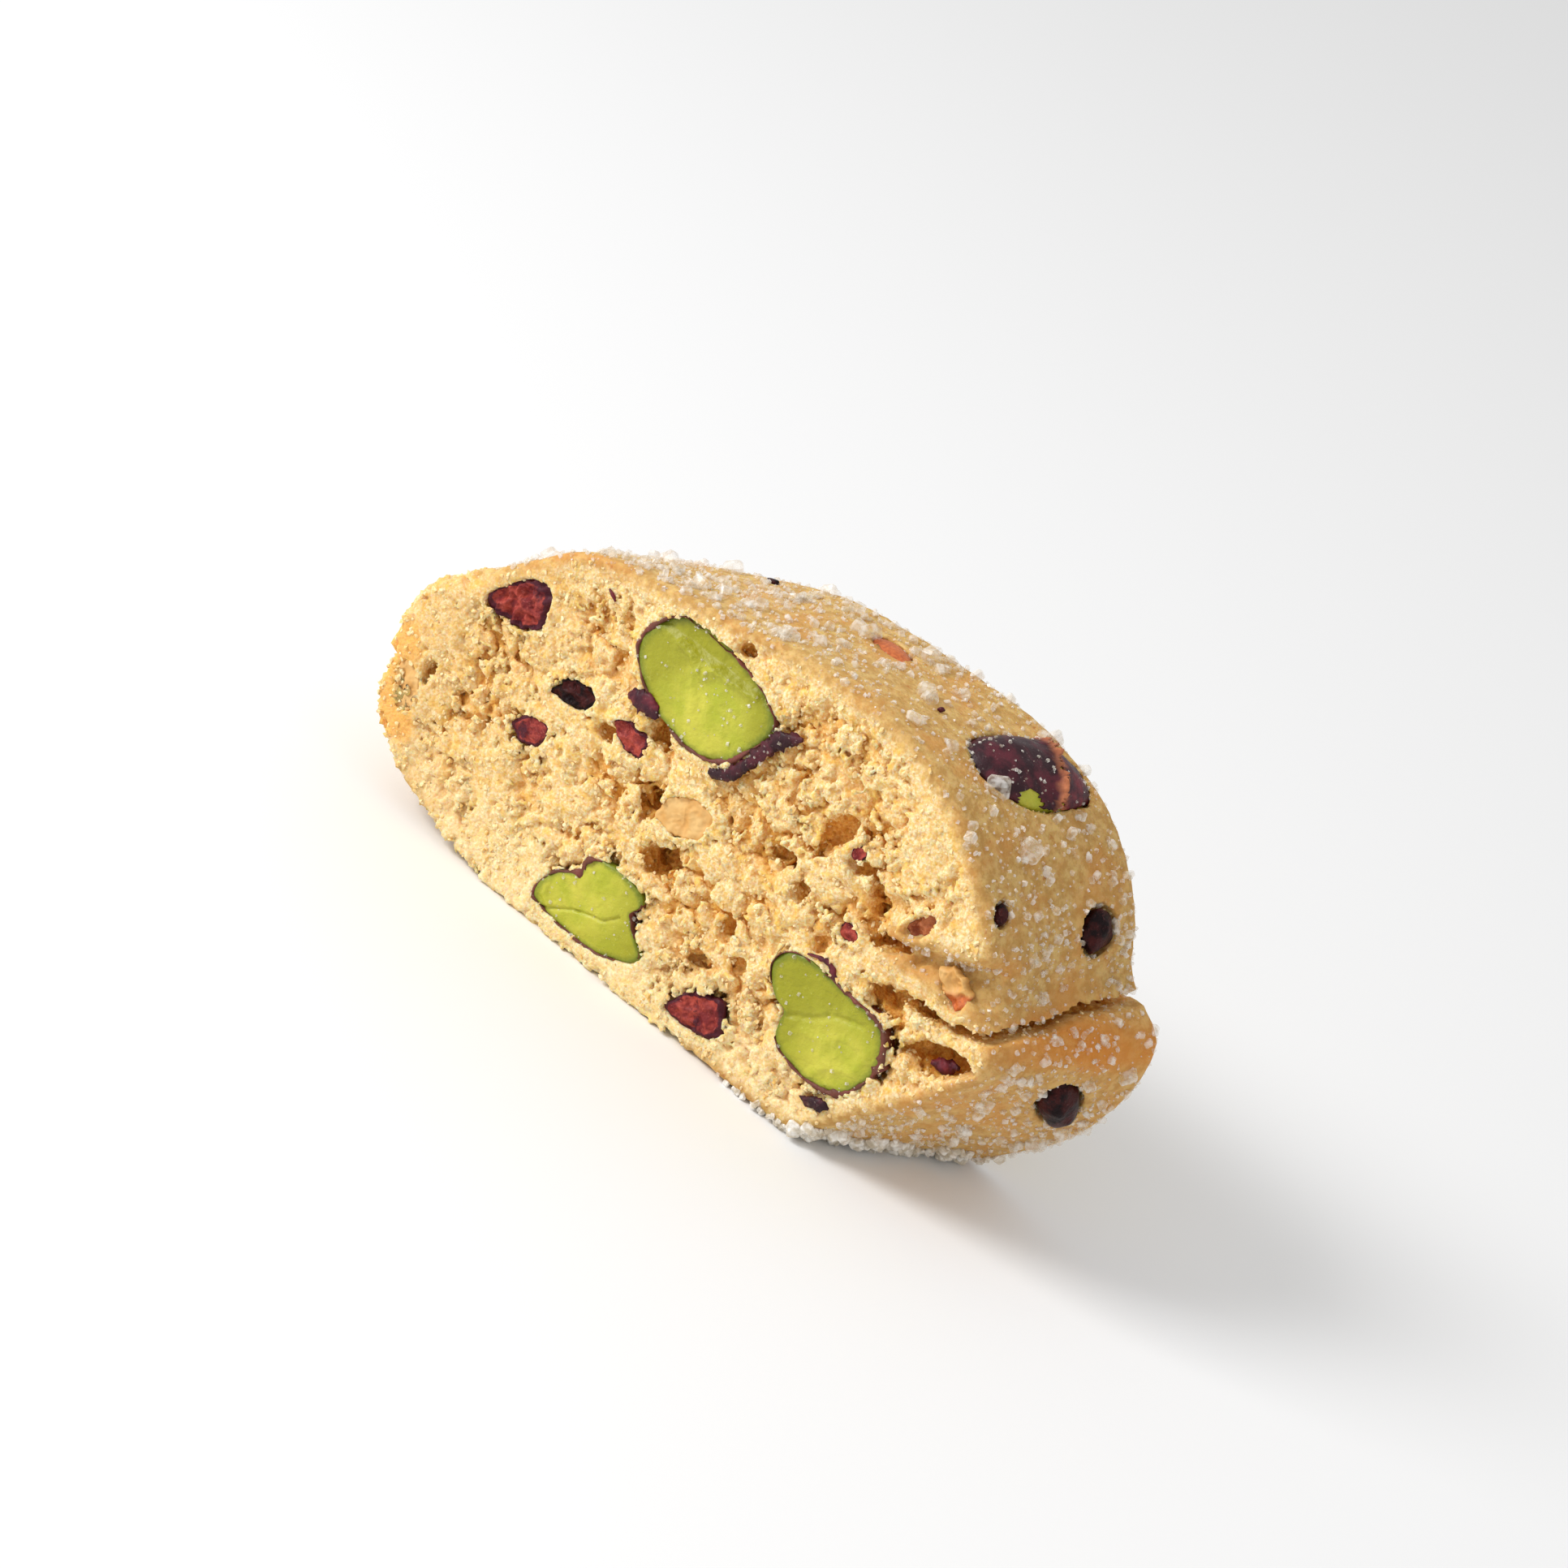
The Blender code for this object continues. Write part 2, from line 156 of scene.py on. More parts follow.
def soft_lamp():
    lamp = bpy.data.objects.new("key", bpy.data.lights.new("key", "AREA"))
    lamp.data.size = LAMP_SPAN
    lamp.data.energy = LAMP_POWER
    lamp.matrix_world = LAMP_WAY.to_track_quat("Z", "Y").to_matrix().to_4x4()
    lamp.matrix_world.translation = LAMP_WAY * LAMP_AWAY
    bpy.context.scene.collection.objects.link(lamp)


def floor_and_sky():
    bpy.ops.mesh.primitive_plane_add(size=FLOOR_SPAN)
    floor = bpy.context.object
    floor.name = "floor"
    finish = bpy.data.materials.new("floor_white")
    finish.use_nodes = True
    shader = finish.node_tree.nodes["Principled BSDF"]
    set_sockets(shader.inputs, Base_Color=(FLOOR_GREY,) * 3 + (1.0,), Roughness=0.9, Specular_IOR_Level=0.0)
    floor.data.materials.append(finish)
    floor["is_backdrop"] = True
    sky = bpy.data.worlds.new("sky")
    sky.use_nodes = True
    set_sockets(sky.node_tree.nodes["Background"].inputs, Color=(1.0,) * 4, Strength=SKY_STRENGTH)
    bpy.context.scene.world = sky
    bpy.context.scene.view_settings.view_transform = "Standard"


floor_and_sky()
soft_lamp()
print("floor, sky and lamp are in place")

# %% [markdown]
# ## Wires
# Both finishes and shapes below are made of nodes. A tree of fifty nodes is hard to read as
# fifty calls, but easy to read as a sum, so a small class wraps a socket and lets Python's
# own signs add the Math nodes. `Bench.add` makes any other kind of node.

# %% Wires
def sign(operation, turned=False):
    """A sign or a method of a wire that adds one Math node. Turned, it puts the wire last."""
    def added(wire, *others):
        values = (*others, wire) if turned else (wire, *others)
        return wire.bench.add("ShaderNodeMath", {"operation": operation}, dict(enumerate(values)))
    return added


class Wire:
    """A socket that can be added, multiplied and compared, which adds the Math nodes."""

    __add__ = __radd__ = sign("ADD")
    __sub__ = sign("SUBTRACT")
    __rsub__ = sign("SUBTRACT", turned=True)
    __mul__ = __rmul__ = sign("MULTIPLY")
    __truediv__ = sign("DIVIDE")
    __rtruediv__ = sign("DIVIDE", turned=True)
    at_least = sign("MAXIMUM")
    at_most = sign("MINIMUM")
    above = sign("GREATER_THAN")
    size = sign("ABSOLUTE")

    def __init__(self, bench, socket):
        self.bench = bench
        self.socket = socket

    def rise(self, low, high, start=0.0, end=1.0):
        """Goes smoothly from start to end while this value goes from low to high."""
        ends = {"From Min": low, "From Max": high, "To Min": start, "To Max": end}
        return self.bench.add(
            "ShaderNodeMapRange", {"interpolation_type": "SMOOTHSTEP"}, {"Value": self, **ends}
        )


class Bench:
    """Adds nodes to one tree, a finish's or a shape's."""

    def __init__(self, tree):
        self.tree = tree

    def add(self, kind, settings=None, values=None, out=0):
        """A new node, its settings first and then its sockets. Gives back the wire from one output."""
        node = self.tree.nodes.new(kind)
        for name, value in (settings or {}).items():
            setattr(node, name, value)
        for name, value in (values or {}).items():
            self.feed(self.socket_of(node.inputs, name), value)
        return node if out is None else Wire(self, self.socket_of(node.outputs, out))

    def feed(self, socket, value):
        if isinstance(value, Wire):
            self.tree.links.new(value.socket, socket)
        else:
            socket.default_value = value

    @staticmethod
    def socket_of(sockets, name):
        if isinstance(name, int):
            return sockets[name]
        found = [s for s in sockets if s.identifier == name]
        return found[0] if found else sockets[name]

    def noise(self, size, detail=2.0, place=None, roughness=0.5, shift=0.0):
        """Cloudy noise from 0 to 1, whose lumps are about `size` millimetres."""
        values = {"Scale": 1.0 / (size * MM), "Detail": detail, "Roughness": roughness}
        if place is not None:
            values["Vector"] = place
        if shift:
            values["W"] = shift
        return self.add("ShaderNodeTexNoise", {"noise_dimensions": "4D" if shift else "3D"}, values)

    def cells(self, place, scale, feature="F1"):
        """Distance to the nearest of many scattered points, or to the seams between them."""
        values = {"Vector": place, "Scale": scale}
        return self.add("ShaderNodeTexVoronoi", {"feature": feature}, values, out="Distance")

    def vector(self, operation, *values, out=0, **named):
        """Vector Math on wires and numbers."""
        values = {**dict(enumerate(values)), **named}
        return self.add("ShaderNodeVectorMath", {"operation": operation}, values, out)

    def along(self, axes, vector):
        """The coordinates of a vector along these axes."""
        return [self.add("ShaderNodeSeparateXYZ", {}, {0: vector}, out=axis) for axis in axes]


print("wires are ready")

# %% [markdown]
# ## Guides for the dough
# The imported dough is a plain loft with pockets. Its crumb has to be made far finer, and a
# pocket's wall must not look like a cast of the nut. So the outline of the crust is read
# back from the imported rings, as a distance from the slice's middle line at every degree,
# and drawn as a smooth tube. The nuts and fruit are joined into one guide, and the dough
# itself is kept as a second one, for its split and its hollows.

# %% Outline of the crust
HUB_Z = 17.0  # height of the slice's middle line
RINGS = 8
RING_END = 8.0  # the last rings of the crust lie this far from the middle
SPOKES = 240
TUBE_END = 10.0  # the guide's tube runs past the cut faces
TUBE_ROWS = 21
RING_SLACK = 0.002  # corners this near a plane belong to its ring
FOUR = (-1, 0, 1, 2)  # the four neighbours that a smooth curve needs


def points_of(name):
    """A CAD node's corners in millimetres."""
    mesh = nodes[name].data
    corners = np.empty(len(mesh.vertices) * 3)
    mesh.vertices.foreach_get("co", corners)
    return corners.reshape(-1, 3) / MM


def crust_reach(y, corners):
    """How far the crust is from the middle line at y, spoke by spoke."""
    ring = corners[np.abs(corners[:, 1] - y) < RING_SLACK]
    ring = ring[np.argsort(np.arctan2(ring[:, 2] - HUB_Z, ring[:, 0]))]
    filled = []
    for a, b in zip(ring, np.roll(ring, -1, axis=0)):
        steps = max(1, int(np.linalg.norm(b - a) / 0.5))
        filled += [a + (b - a) * k / steps for k in range(steps)]
    filled = np.array(filled)
    turn = np.arctan2(filled[:, 2] - HUB_Z, filled[:, 0])
    reach = np.hypot(filled[:, 2] - HUB_Z, filled[:, 0])
    order = np.argsort(turn)
    grid = np.linspace(-math.pi, math.pi, SPOKES, endpoint=False)
    radius = np.interp(grid, turn[order], reach[order], period=math.tau)
    return (np.roll(radius, 1) + 2.0 * radius + np.roll(radius, -1)) / 4.0


def on_curve(four, t):
    """A smooth curve through four points, at t from 0 at the second to 1 at the third."""
    before, start, end, after = four
    bend = 2.0 * before - 5.0 * start + 4.0 * end - after
    twist = 3.0 * start - before - 3.0 * end + after
    return 0.5 * (2.0 * start + (end - before) * t + bend * t ** 2 + twist * t ** 3)


def through_rings(rings, share):
    """A smooth curve through the rings, spoke by spoke, from 0 at the first to 1 at the last."""
    last = len(rings) - 1
    k = min(int(share * last), last - 1)
    return on_curve([rings[min(max(k + i, 0), last)] for i in FOUR], share * last - k)


def skin_over(bm, rows):
    """Faces between rows of corners that go round."""
    for low, high in zip(rows, rows[1:]):
        for i in range(len(low)):
            j = (i + 1) % len(low)
            bm.faces.new((low[i], low[j], high[j], high[i]))


def turned_outwards(bm):
    bmesh.ops.recalc_face_normals(bm, faces=bm.faces)
    return bm


def joined_object(name, bm):
    """Turns a bmesh in millimetres into an object in metres."""
    bmesh.ops.scale(bm, vec=(MM, MM, MM), verts=bm.verts)
    mesh = bpy.data.meshes.new(name)
    bm.to_mesh(mesh)
    bm.free()
    obj = bpy.data.objects.new(name, mesh)
    bpy.context.scene.collection.objects.link(obj)
    return obj


def crust_guide():
    corners = points_of("dough")
    rings = [crust_reach((2.0 * i / (RINGS - 1) - 1.0) * RING_END, corners) for i in range(RINGS)]
    turn = np.linspace(-math.pi, math.pi, SPOKES, endpoint=False)
    bm = bmesh.new()
    rows = []
    for y in np.linspace(-TUBE_END, TUBE_END, TUBE_ROWS):
        share = min(max(0.5 + 0.5 * y / RING_END, 0.0), 1.0)
        reach = through_rings(rings, share)
        rows.append([
            bm.verts.new((r * math.cos(a), y, HUB_Z + r * math.sin(a))) for r, a in zip(reach, turn)
        ])
    skin_over(bm, rows)
    return joined_object("crust_guide", turned_outwards(bm))


def joined_copy(name, pieces, merge=False):
    """One object with the faces of all these pieces, in the end with its double corners merged."""
    bm = bmesh.new()
    for piece in pieces:
        bm.from_mesh(piece.data)
    bmesh.ops.scale(bm, vec=TO_MM, verts=bm.verts)
    if merge:
        bmesh.ops.remove_doubles(bm, verts=bm.verts, dist=RING_SLACK)
    return joined_object(name, bm)


crust = crust_guide()
cad_dough = joined_copy("cut_guide", [nodes["dough"]], merge=True)
fillings = joined_copy("fillings_guide", [nodes[n] for n in nodes if n != "dough"], merge=True)
print(f"crust guide has {len(crust.data.polygons)} faces, fillings {len(fillings.data.polygons)}")

# %% [markdown]
# ## Torn places
# Where the knife dragged, lumps of crumb came away and left crevices. Each is a flat lump
# of air pushed into a cut face, given by its middle, its reach along and across, its depth
# and its turn. They are lumpy shapes, so that their edges break up like the crumb itself.

# %% Torn places
CREVICES = (  # face, x, z, half length, half width, depth, turn in degrees
    (-1, 8.9, 24.3, 1.9, 0.8, 2.6, 70.0),
    (-1, 11.6, 23.4, 1.1, 0.6, 1.9, 10.0),
    (-1, 14.1, 22.4, 0.8, 0.5, 2.2, 100.0),
    (-1, 14.8, 20.8, 1.6, 0.5, 2.4, 100.0),
    (-1, 17.4, 19.5, 1.9, 0.55, 2.6, 20.0),
    (-1, 20.1, 20.2, 1.2, 0.5, 1.9, 45.0),
    (-1, 5.5, 19.6, 1.2, 0.5, 2.2, 15.0),
    (-1, 8.2, 18.0, 0.9, 0.5, 1.6, 60.0),
    (-1, 12.0, 15.2, 0.5, 0.6, 1.7, 0.0),
    (-1, 4.1, 11.0, 0.8, 0.6, 2.0, 80.0),
    (-1, 6.4, 9.0, 0.6, 0.9, 1.8, 0.0),
    (-1, 2.7, 7.1, 0.5, 0.8, 1.6, 20.0),
    (-1, -5.7, 32.3, 0.9, 0.5, 1.5, 30.0),
    (-1, -9.3, 21.0, 0.7, 0.5, 2.0, 0.0),
    (-1, -13.7, 18.4, 0.9, 0.6, 2.2, 20.0),
    (-1, -31.4, 12.4, 0.4, 1.5, 1.8, -10.0),
    (-1, 19.3, 15.4, 1.6, 0.7, 3.0, 0.0),
    (-1, -7.0, 16.0, 0.9, 0.9, 3.4, 0.0),
    (-1, -4.2, 12.2, 1.3, 0.8, 3.4, 15.0),
    (1, -13.0, 22.4, 2.0, 0.8, 2.4, 40.0),
    (1, -3.0, 8.5, 1.6, 0.6, 2.2, -30.0),
    (1, 9.0, 19.0, 1.4, 0.7, 2.4, 70.0),
    (1, 17.5, 26.5, 1.6, 0.7, 2.2, 120.0),
    (1, -21.0, 14.0, 1.0, 0.6, 2.0, 10.0),
    (1, 22.0, 5.0, 1.2, 0.5, 1.8, 50.0),
    (1, -1.5, 20.0, 0.8, 0.6, 2.0, 0.0),
)


def crevice_guide():
    bm = bmesh.new()
    for face, x, z, along, across, depth, turn in CREVICES:
        lump = bmesh.ops.create_icosphere(bm, subdivisions=2, radius=1.0)["verts"]
        lean = math.radians(turn)
        for vert in lump:
            vert.co *= 1.0 + 0.35 * noise.noise(vert.co * 1.5 + Vector((x, z, 0.0)))
            side, deep, high = vert.co.x * along, vert.co.y * depth, vert.co.z * across
            vert.co = Vector((
                x + side * math.cos(lean) - high * math.sin(lean),
                face * FACE + deep,
                z + side * math.sin(lean) + high * math.cos(lean),
            ))
    return joined_object("crevice_guide", turned_outwards(bm))


crevices = crevice_guide()
print(f"{len(CREVICES)} crevices")

# %% [markdown]
# ## Crumb
# Crumb is dough with the air still in it: rounded grains less than a millimetre wide, stuck
# together in clumps, with pits between them that run back under the surface. Pushing a
# smooth face in and out can't make such overhangs. So the dough is made as a volume. At
# every point of a fine grid the tree works out how far inside the dough it is, takes away
# the nuts, the split and the crevices, eats into the cut faces with cells and noise, and
# draws a mesh round what is left. The crust is left almost smooth.
#
# Three numbers are kept on the mesh for the finish: how deep a point is under the first cut
# face (`pit`) and how far it is from the crust (`inner`), both in millimetres, and how far
# it lies in a crack, a hole or a pore (`crack`). The finish paints shade in the pits and
# cracks from `pit` and `crack`.

# %% Helpers for shapes made of nodes
def shape_bench(name, inputs):
    """A Geometry Nodes tree with named inputs. Gives back its bench and the inputs' wires."""
    tree = bpy.data.node_groups.new(name, "GeometryNodeTree")
    tree.interface.new_socket("Shape", in_out="INPUT", socket_type="NodeSocketGeometry")
    tree.interface.new_socket("Shape", in_out="OUTPUT", socket_type="NodeSocketGeometry")
    for label, value in {**inputs, "Finish": "Material"}.items():
        kind = value if isinstance(value, str) else {float: "Float", int: "Int"}[type(value)]
        socket = tree.interface.new_socket(label, in_out="INPUT", socket_type="NodeSocket" + kind)
        if kind != value:
            socket.default_value = value
    bench = Bench(tree)
    entry = bench.add("NodeGroupInput", out=None)
    return bench, {s.name: Wire(bench, s) for s in entry.outputs if s.name}


def kept_on(bench, shape, **values):
    """Stores these values on the shape's points, for its finish to read."""
    for name, value in values.items():
        shape = bench.add(
            "GeometryNodeStoreNamedAttribute", {}, {"Geometry": shape, "Name": name, "Value": value}
        )
    return shape


def finish_shape(bench, shape, finish):
    """Ends the tree: instances are made real, and the finish is put on."""
    real = bench.add("GeometryNodeRealizeInstances", {}, {"Geometry": shape})
    dressed = bench.add("GeometryNodeSetMaterial", {}, {"Geometry": real, "Material": finish})
    leave = bench.add("NodeGroupOutput", out=None)
    bench.feed(leave.inputs[0], dressed)


def applied(host, step):
    """The mesh that a modifier makes of an object, which then loses the modifier."""
    depsgraph = bpy.context.evaluated_depsgraph_get()
    made = bpy.data.meshes.new_from_object(
        host.evaluated_get(depsgraph), preserve_all_data_layers=True, depsgraph=depsgraph
    )
    host.modifiers.remove(step)
    return made


def grow(name, tree, inputs, finish, base=None):
    """Runs a tree with these inputs and keeps the result as a plain mesh object."""
    mesh = base.data.copy() if base else bpy.data.meshes.new(name)
    host = bpy.data.objects.new(name + "_host", mesh)
    bpy.context.scene.collection.objects.link(host)
    step = host.modifiers.new("grow", "NODES")
    step.node_group = tree
    inputs = {**inputs, "Finish": finish}
    for item in tree.interface.items_tree:
        if item.in_out == "INPUT" and item.name in inputs:
            step[item.identifier] = inputs[item.name]
    made = applied(host, step)
    bpy.data.objects.remove(host)
    made.name = name
    piece = bpy.data.objects.new(name, made)
    bpy.context.scene.collection.objects.link(piece)
    return piece


print("shape helpers are ready")

# %% The tree of the crumb
GRID_LOW = Vector((-36.8, -9.2, -0.6))
GRID_HIGH = Vector((36.8, 9.2, 36.8))
RAY = (0.13, 0.003, 0.99)  # nearly upright, so that it stays within the open tube
RAY_LENGTH = 0.2
SMALLEST_LUMP = 2000.0  # loose islands with fewer corners than this are dropped
GUIDES = dict.fromkeys(("Crust guide", "Cut guide", "Fillings guide", "Crevice guide"), "Object")
CRUMB_SIZES = {  # millimetres
    "Voxel": 0.25, "Rim": 1.6, "Grain size": 0.62, "Grain depth": 0.5, "Clump size": 2.4,
    "Clump depth": 1.4, "Crack size": 2.9, "Crack depth": 0.95, "Hole depth": 0.8,
    "Crust wave": 0.3, "Broken rim": 0.85, "Pore depth": 0.55,
}


def signed_distance(b, guide):
    """Distance to a closed guide, negative inside it."""
    shape = b.add("GeometryNodeObjectInfo", {}, {"Object": guide}, out="Geometry")
    far = b.add("GeometryNodeProximity", {}, {"Target": shape}, out="Distance")
    ray = b.add(
        "GeometryNodeRaycast", {},
        {"Target Geometry": shape, "Ray Direction": RAY, "Ray Length": RAY_LENGTH}, out=None,
    )
    leaving = b.vector("DOT_PRODUCT", Wire(b, ray.outputs["Hit Normal"]), RAY, out="Value")
    inside = leaving.above(0.0) * Wire(b, ray.outputs["Is Hit"])
    return far * (1.0 - 2.0 * inside) / MM


def torn_rim(b, ask, east, height, ahead):
    """Where the crust has broken away: at the left end and along the lower left base."""
    base = height.rise(3.0, 0.8) * east.rise(9.0, 1.0) * (ahead + FACE).rise(6.0, 7.4)
    return base.at_least(east.rise(-28.0, -33.0)) * ask["Broken rim"]


def cracks_in(b, ask, bent):
    """Seams between clumps, wide ones and finer ones, in patches."""
    cracks = 0.0
    for share, depth in ((1.0, 1.0), (0.42, 0.55)):
        seam = b.cells(bent, 1.0 / (ask["Crack size"] * share), "DISTANCE_TO_EDGE")
        cracks = cracks + (1.0 - seam.rise(0.01, 0.14)) * depth
    return cracks * b.noise(6.0, 2.0).rise(0.36, 0.6)


def meshed(b, ask, dough):
    """A mesh round the places where this depth is below zero, without loose specks."""
    solid = (0.5 - dough / (2.0 * ask["Voxel"])).at_least(0.0).at_most(1.0)
    span = GRID_HIGH - GRID_LOW
    counts = {"Resolution " + axis: length / ask["Voxel"] for axis, length in zip("XYZ", span)}
    volume = b.add("GeometryNodeVolumeCube", {}, {
        "Density": solid, "Min": GRID_LOW * MM, "Max": GRID_HIGH * MM, **counts,
    })
    shape = b.add("GeometryNodeVolumeToMesh", {}, {"Volume": volume, "Threshold": 0.5})
    island = b.add("GeometryNodeInputMeshIsland", out="Island Index")
    members = b.add(
        "GeometryNodeAccumulateField", {"domain": "POINT"}, {"Value": 1.0, "Group Index": island},
        out="Total",
    )
    stray = 1.0 - members.above(SMALLEST_LUMP)
    return b.add("GeometryNodeDeleteGeometry", {}, {"Geometry": shape, "Selection": stray})


def crumb_tree():
    b, ask = shape_bench("crumb", {**GUIDES, **CRUMB_SIZES})
    beside, cut, filling, torn = (signed_distance(b, ask[guide]) for guide in GUIDES)
    place = b.add("GeometryNodeInputPosition")
    east, apart, height = (axis / MM for axis in b.along("XYZ", place))
    ahead = apart.size() - FACE
    whole = b.add("ShaderNodeMath", {"operation": "SMOOTH_MAX"}, {0: beside, 1: ahead, 2: ask["Rim"]})
    inner = (0.0 - beside).at_least(0.0)
    ragged = (b.noise(1.2, 3.0, roughness=0.65) - 0.5) * 2.0
    broken = torn_rim(b, ask, east, height, ahead)
    soft = inner.rise(0.5, 3.2).at_least(broken)
    loose = inner.rise(2.5, 6.0, 0.55, 1.0)
    in_mm = b.vector("SCALE", place, Scale=1.0 / MM)
    swirl = b.add("ShaderNodeTexNoise", {}, {"Vector": in_mm, "Scale": 0.8, "Detail": 3.0}, out="Color")
    bent = b.vector("MULTIPLY_ADD", swirl, (2.9,) * 3, in_mm)
    grain = b.cells(in_mm, 1.0 / ask["Grain size"])
    clump = b.add(
        "ShaderNodeTexNoise", {},
        {"Vector": bent, "Scale": 1.0 / ask["Clump size"], "Detail": 2.5, "Roughness": 0.62},
    )
    cracks = cracks_in(b, ask, bent)
    holes = b.noise(1.4, 3.0, roughness=0.65, shift=4.0).rise(0.61, 0.7)
    lumpy = (clump - 0.45).at_least(0.0) * ask["Clump depth"] + cracks * ask["Crack depth"]
    lumpy = lumpy + holes * ask["Hole depth"]
    pores = b.noise(0.85, 2.0, shift=8.0).rise(0.6, 0.7)
    crumbly = grain * ask["Grain depth"] + lumpy * loose + pores * ask["Pore depth"]
    crusty = b.noise(1.3, 3.0) * ask["Crust wave"]
    eaten = soft * crumbly + (1.0 - soft) * crusty
    hugged = filling.rise(0.0, 1.3, 0.2, 1.0)
    dough = whole.at_least(-0.06 - filling)
    dough = dough.at_least((cut - 0.12 + ragged * 0.25).at_most(filling - 0.5))
    dough = dough.at_least((ragged * 0.7 - torn).at_most(filling - 0.3))
    dough = dough + (eaten - broken * 0.45) * hugged
    shape = kept_on(
        b, meshed(b, ask, dough), pit=(0.0 - whole).at_least(0.0), inner=inner + broken * 1.6,
        crack=cracks + holes + pores,
    )
    finish_shape(b, shape, ask["Finish"])
    return b.tree


crumb_shape = crumb_tree()
print(f"crumb tree has {len(crumb_shape.nodes)} nodes")

# %% [markdown]
# ## Finish of the dough
# Crumb isn't one yellow. Its grains are pale cream. Down in the pits, the cracks and
# between the grains, the finish paints a warm orange-brown shade, standing in for light that
# comes back only after passing through dough. The crust is a duller tan with brown freckles.
# One finish does both: the distance from the crust fades one into the other, and the depth
# under the cut face drives the painted shade in the pits.

# %% Helpers for finishes
def finish_bench(name, roughness, coat=0.0, shine=0.5):
    """A material with one Principled shader. Gives back the material, its bench and shader."""
    finish = bpy.data.materials.new(name)
    finish.use_nodes = True
    shader = finish.node_tree.nodes["Principled BSDF"]
    set_sockets(
        shader.inputs, Roughness=roughness, Coat_Weight=coat, Coat_Roughness=0.25,
        Specular_IOR_Level=shine,
    )
    return finish, Bench(finish.node_tree), shader


def see_into(shader, share, colours, depth):
    """Lets light in under the surface, to `depth` millimetres, by colour."""
    set_sockets(
        shader.inputs, Subsurface_Weight=share, Subsurface_Radius=colours,
        Subsurface_Scale=depth * MM,
    )


def colour(red, green, blue):
    """A screen colour, 0 to 255, as the linear colour that a shader wants."""
    parts = [value / 255.0 for value in (red, green, blue)]
    return (*[v / 12.92 if v < 0.043 else ((v + 0.055) / 1.055) ** 2.4 for v in parts], 1.0)


def blended(b, share, low, high):
    """The colour low where share is 0 and high where it is 1, each a wire or a screen colour."""
    low, high = (c if isinstance(c, Wire) else colour(*c) for c in (low, high))
    return b.add(
        "ShaderNodeMix", {"data_type": "RGBA"}, {"Factor_Float": share, "A_Color": low, "B_Color": high},
        out="Result_Color",
    )


def stored(b, name):
    return b.add("ShaderNodeAttribute", {"attribute_name": name}, out="Fac")


def painted(b, shader, tint, rough, height, depth):
    """Feeds colour, roughness and a bump whose 0 to 1 stands for `depth` millimetres."""
    b.feed(shader.inputs["Base Color"], tint)
    b.feed(shader.inputs["Roughness"], rough)
    normal = b.add("ShaderNodeBump", {}, {"Height": height, "Distance": depth * MM, "Strength": 1.0})
    b.feed(shader.inputs["Normal"], normal)


def own_place(b):
    return b.add("ShaderNodeTexCoord", out="Object")


# %% Finish of the dough
OILY_MIDDLE = (-33.6, 10.3)  # x and z of the oily place at the left end
OILY_WAY = (0.934, 0.356)  # across it, x and z


def crumb_colour(b, place, fine, height, east):
    """Pale cream grains, with painted warm brown shade in the pits, the cracks and between the grains."""
    pit = stored(b, "pit")
    cream = blended(b, fine.rise(0.35, 0.65), (234, 192, 112), (247, 231, 188))
    yellow = b.noise(1.2, 3.0, place, 0.6, shift=12.0)
    cream = blended(b, yellow.rise(0.5, 0.66) * 0.6, cream, (240, 190, 72))
    # Painted shade: warm brown where a point lies deep under a cut face or in a crack.
    deep = pit.rise(0.6, 1.9) * 0.85 + stored(b, "crack") * 0.42 * pit.rise(0.2, 0.8)
    painted_pit_shade = blended(b, fine.rise(0.35, 0.65), (208, 132, 46), (236, 178, 82))
    toast = b.noise(1.0, 3.0, place, 0.6, shift=3.0).rise(0.65, 0.72) * 0.55
    # Painted shade between the grains: warm orange in the seams of small cells.
    between = b.cells(place, 1.0 / (0.62 * MM)).rise(0.42, 0.7) * 0.25
    crumb = blended(b, deep.at_most(1.0), cream, painted_pit_shade)
    crumb = blended(b, between, crumb, (232, 168, 76))
    crumb = blended(b, toast, crumb, (190, 112, 52))
    crumb = blended(b, east.rise(-12.0, -28.0) * 0.3, crumb, (212, 162, 88))
    return blended(b, height.rise(10.0, 2.0) * 0.3, crumb, (248, 232, 186))


def oily_place(grainy, east, ahead, height):
    """1 where oil from the almond has soaked the front of the left end."""
    x, z = east - OILY_MIDDLE[0], height - OILY_MIDDLE[1]
    beside = (x * OILY_WAY[0] + z * OILY_WAY[1]).size() + (grainy - 0.5) * 2.0
    along = (z * OILY_WAY[0] - x * OILY_WAY[1]).size()
    return beside.rise(2.3, 1.4) * along.rise(6.2, 4.6) * ahead.rise(-5.0, -7.5)


def crust_colour(b, place, grainy, east, height):
    """Tan with orange clouds and brown freckles, and more orange at the split and under it."""
    lobe = east.rise(20.0, 32.0) * height.rise(24.0, 16.0)
    seam = east.rise(27.0, 32.0) * height.rise(16.0, 18.5) * height.rise(21.5, 19.5)
    tan = blended(b, grainy.rise(0.38, 0.64), (190, 146, 80), (214, 178, 112))
    orange = b.noise(4.5, 3.0, place, 0.6, shift=9.0).rise(0.46, 0.68) * 0.6 + lobe * 0.2
    tan = blended(b, orange.at_most(1.0), tan, (206, 142, 70))
    tan = blended(b, seam * (0.2 + b.noise(5.0, 3.0, place) * 0.8), tan, (214, 132, 44))
    freckle = b.noise(0.8, 3.0, place, 0.6, shift=7.0).rise(0.62, 0.72) * 0.6
    return blended(b, freckle, tan, (176, 104, 46))


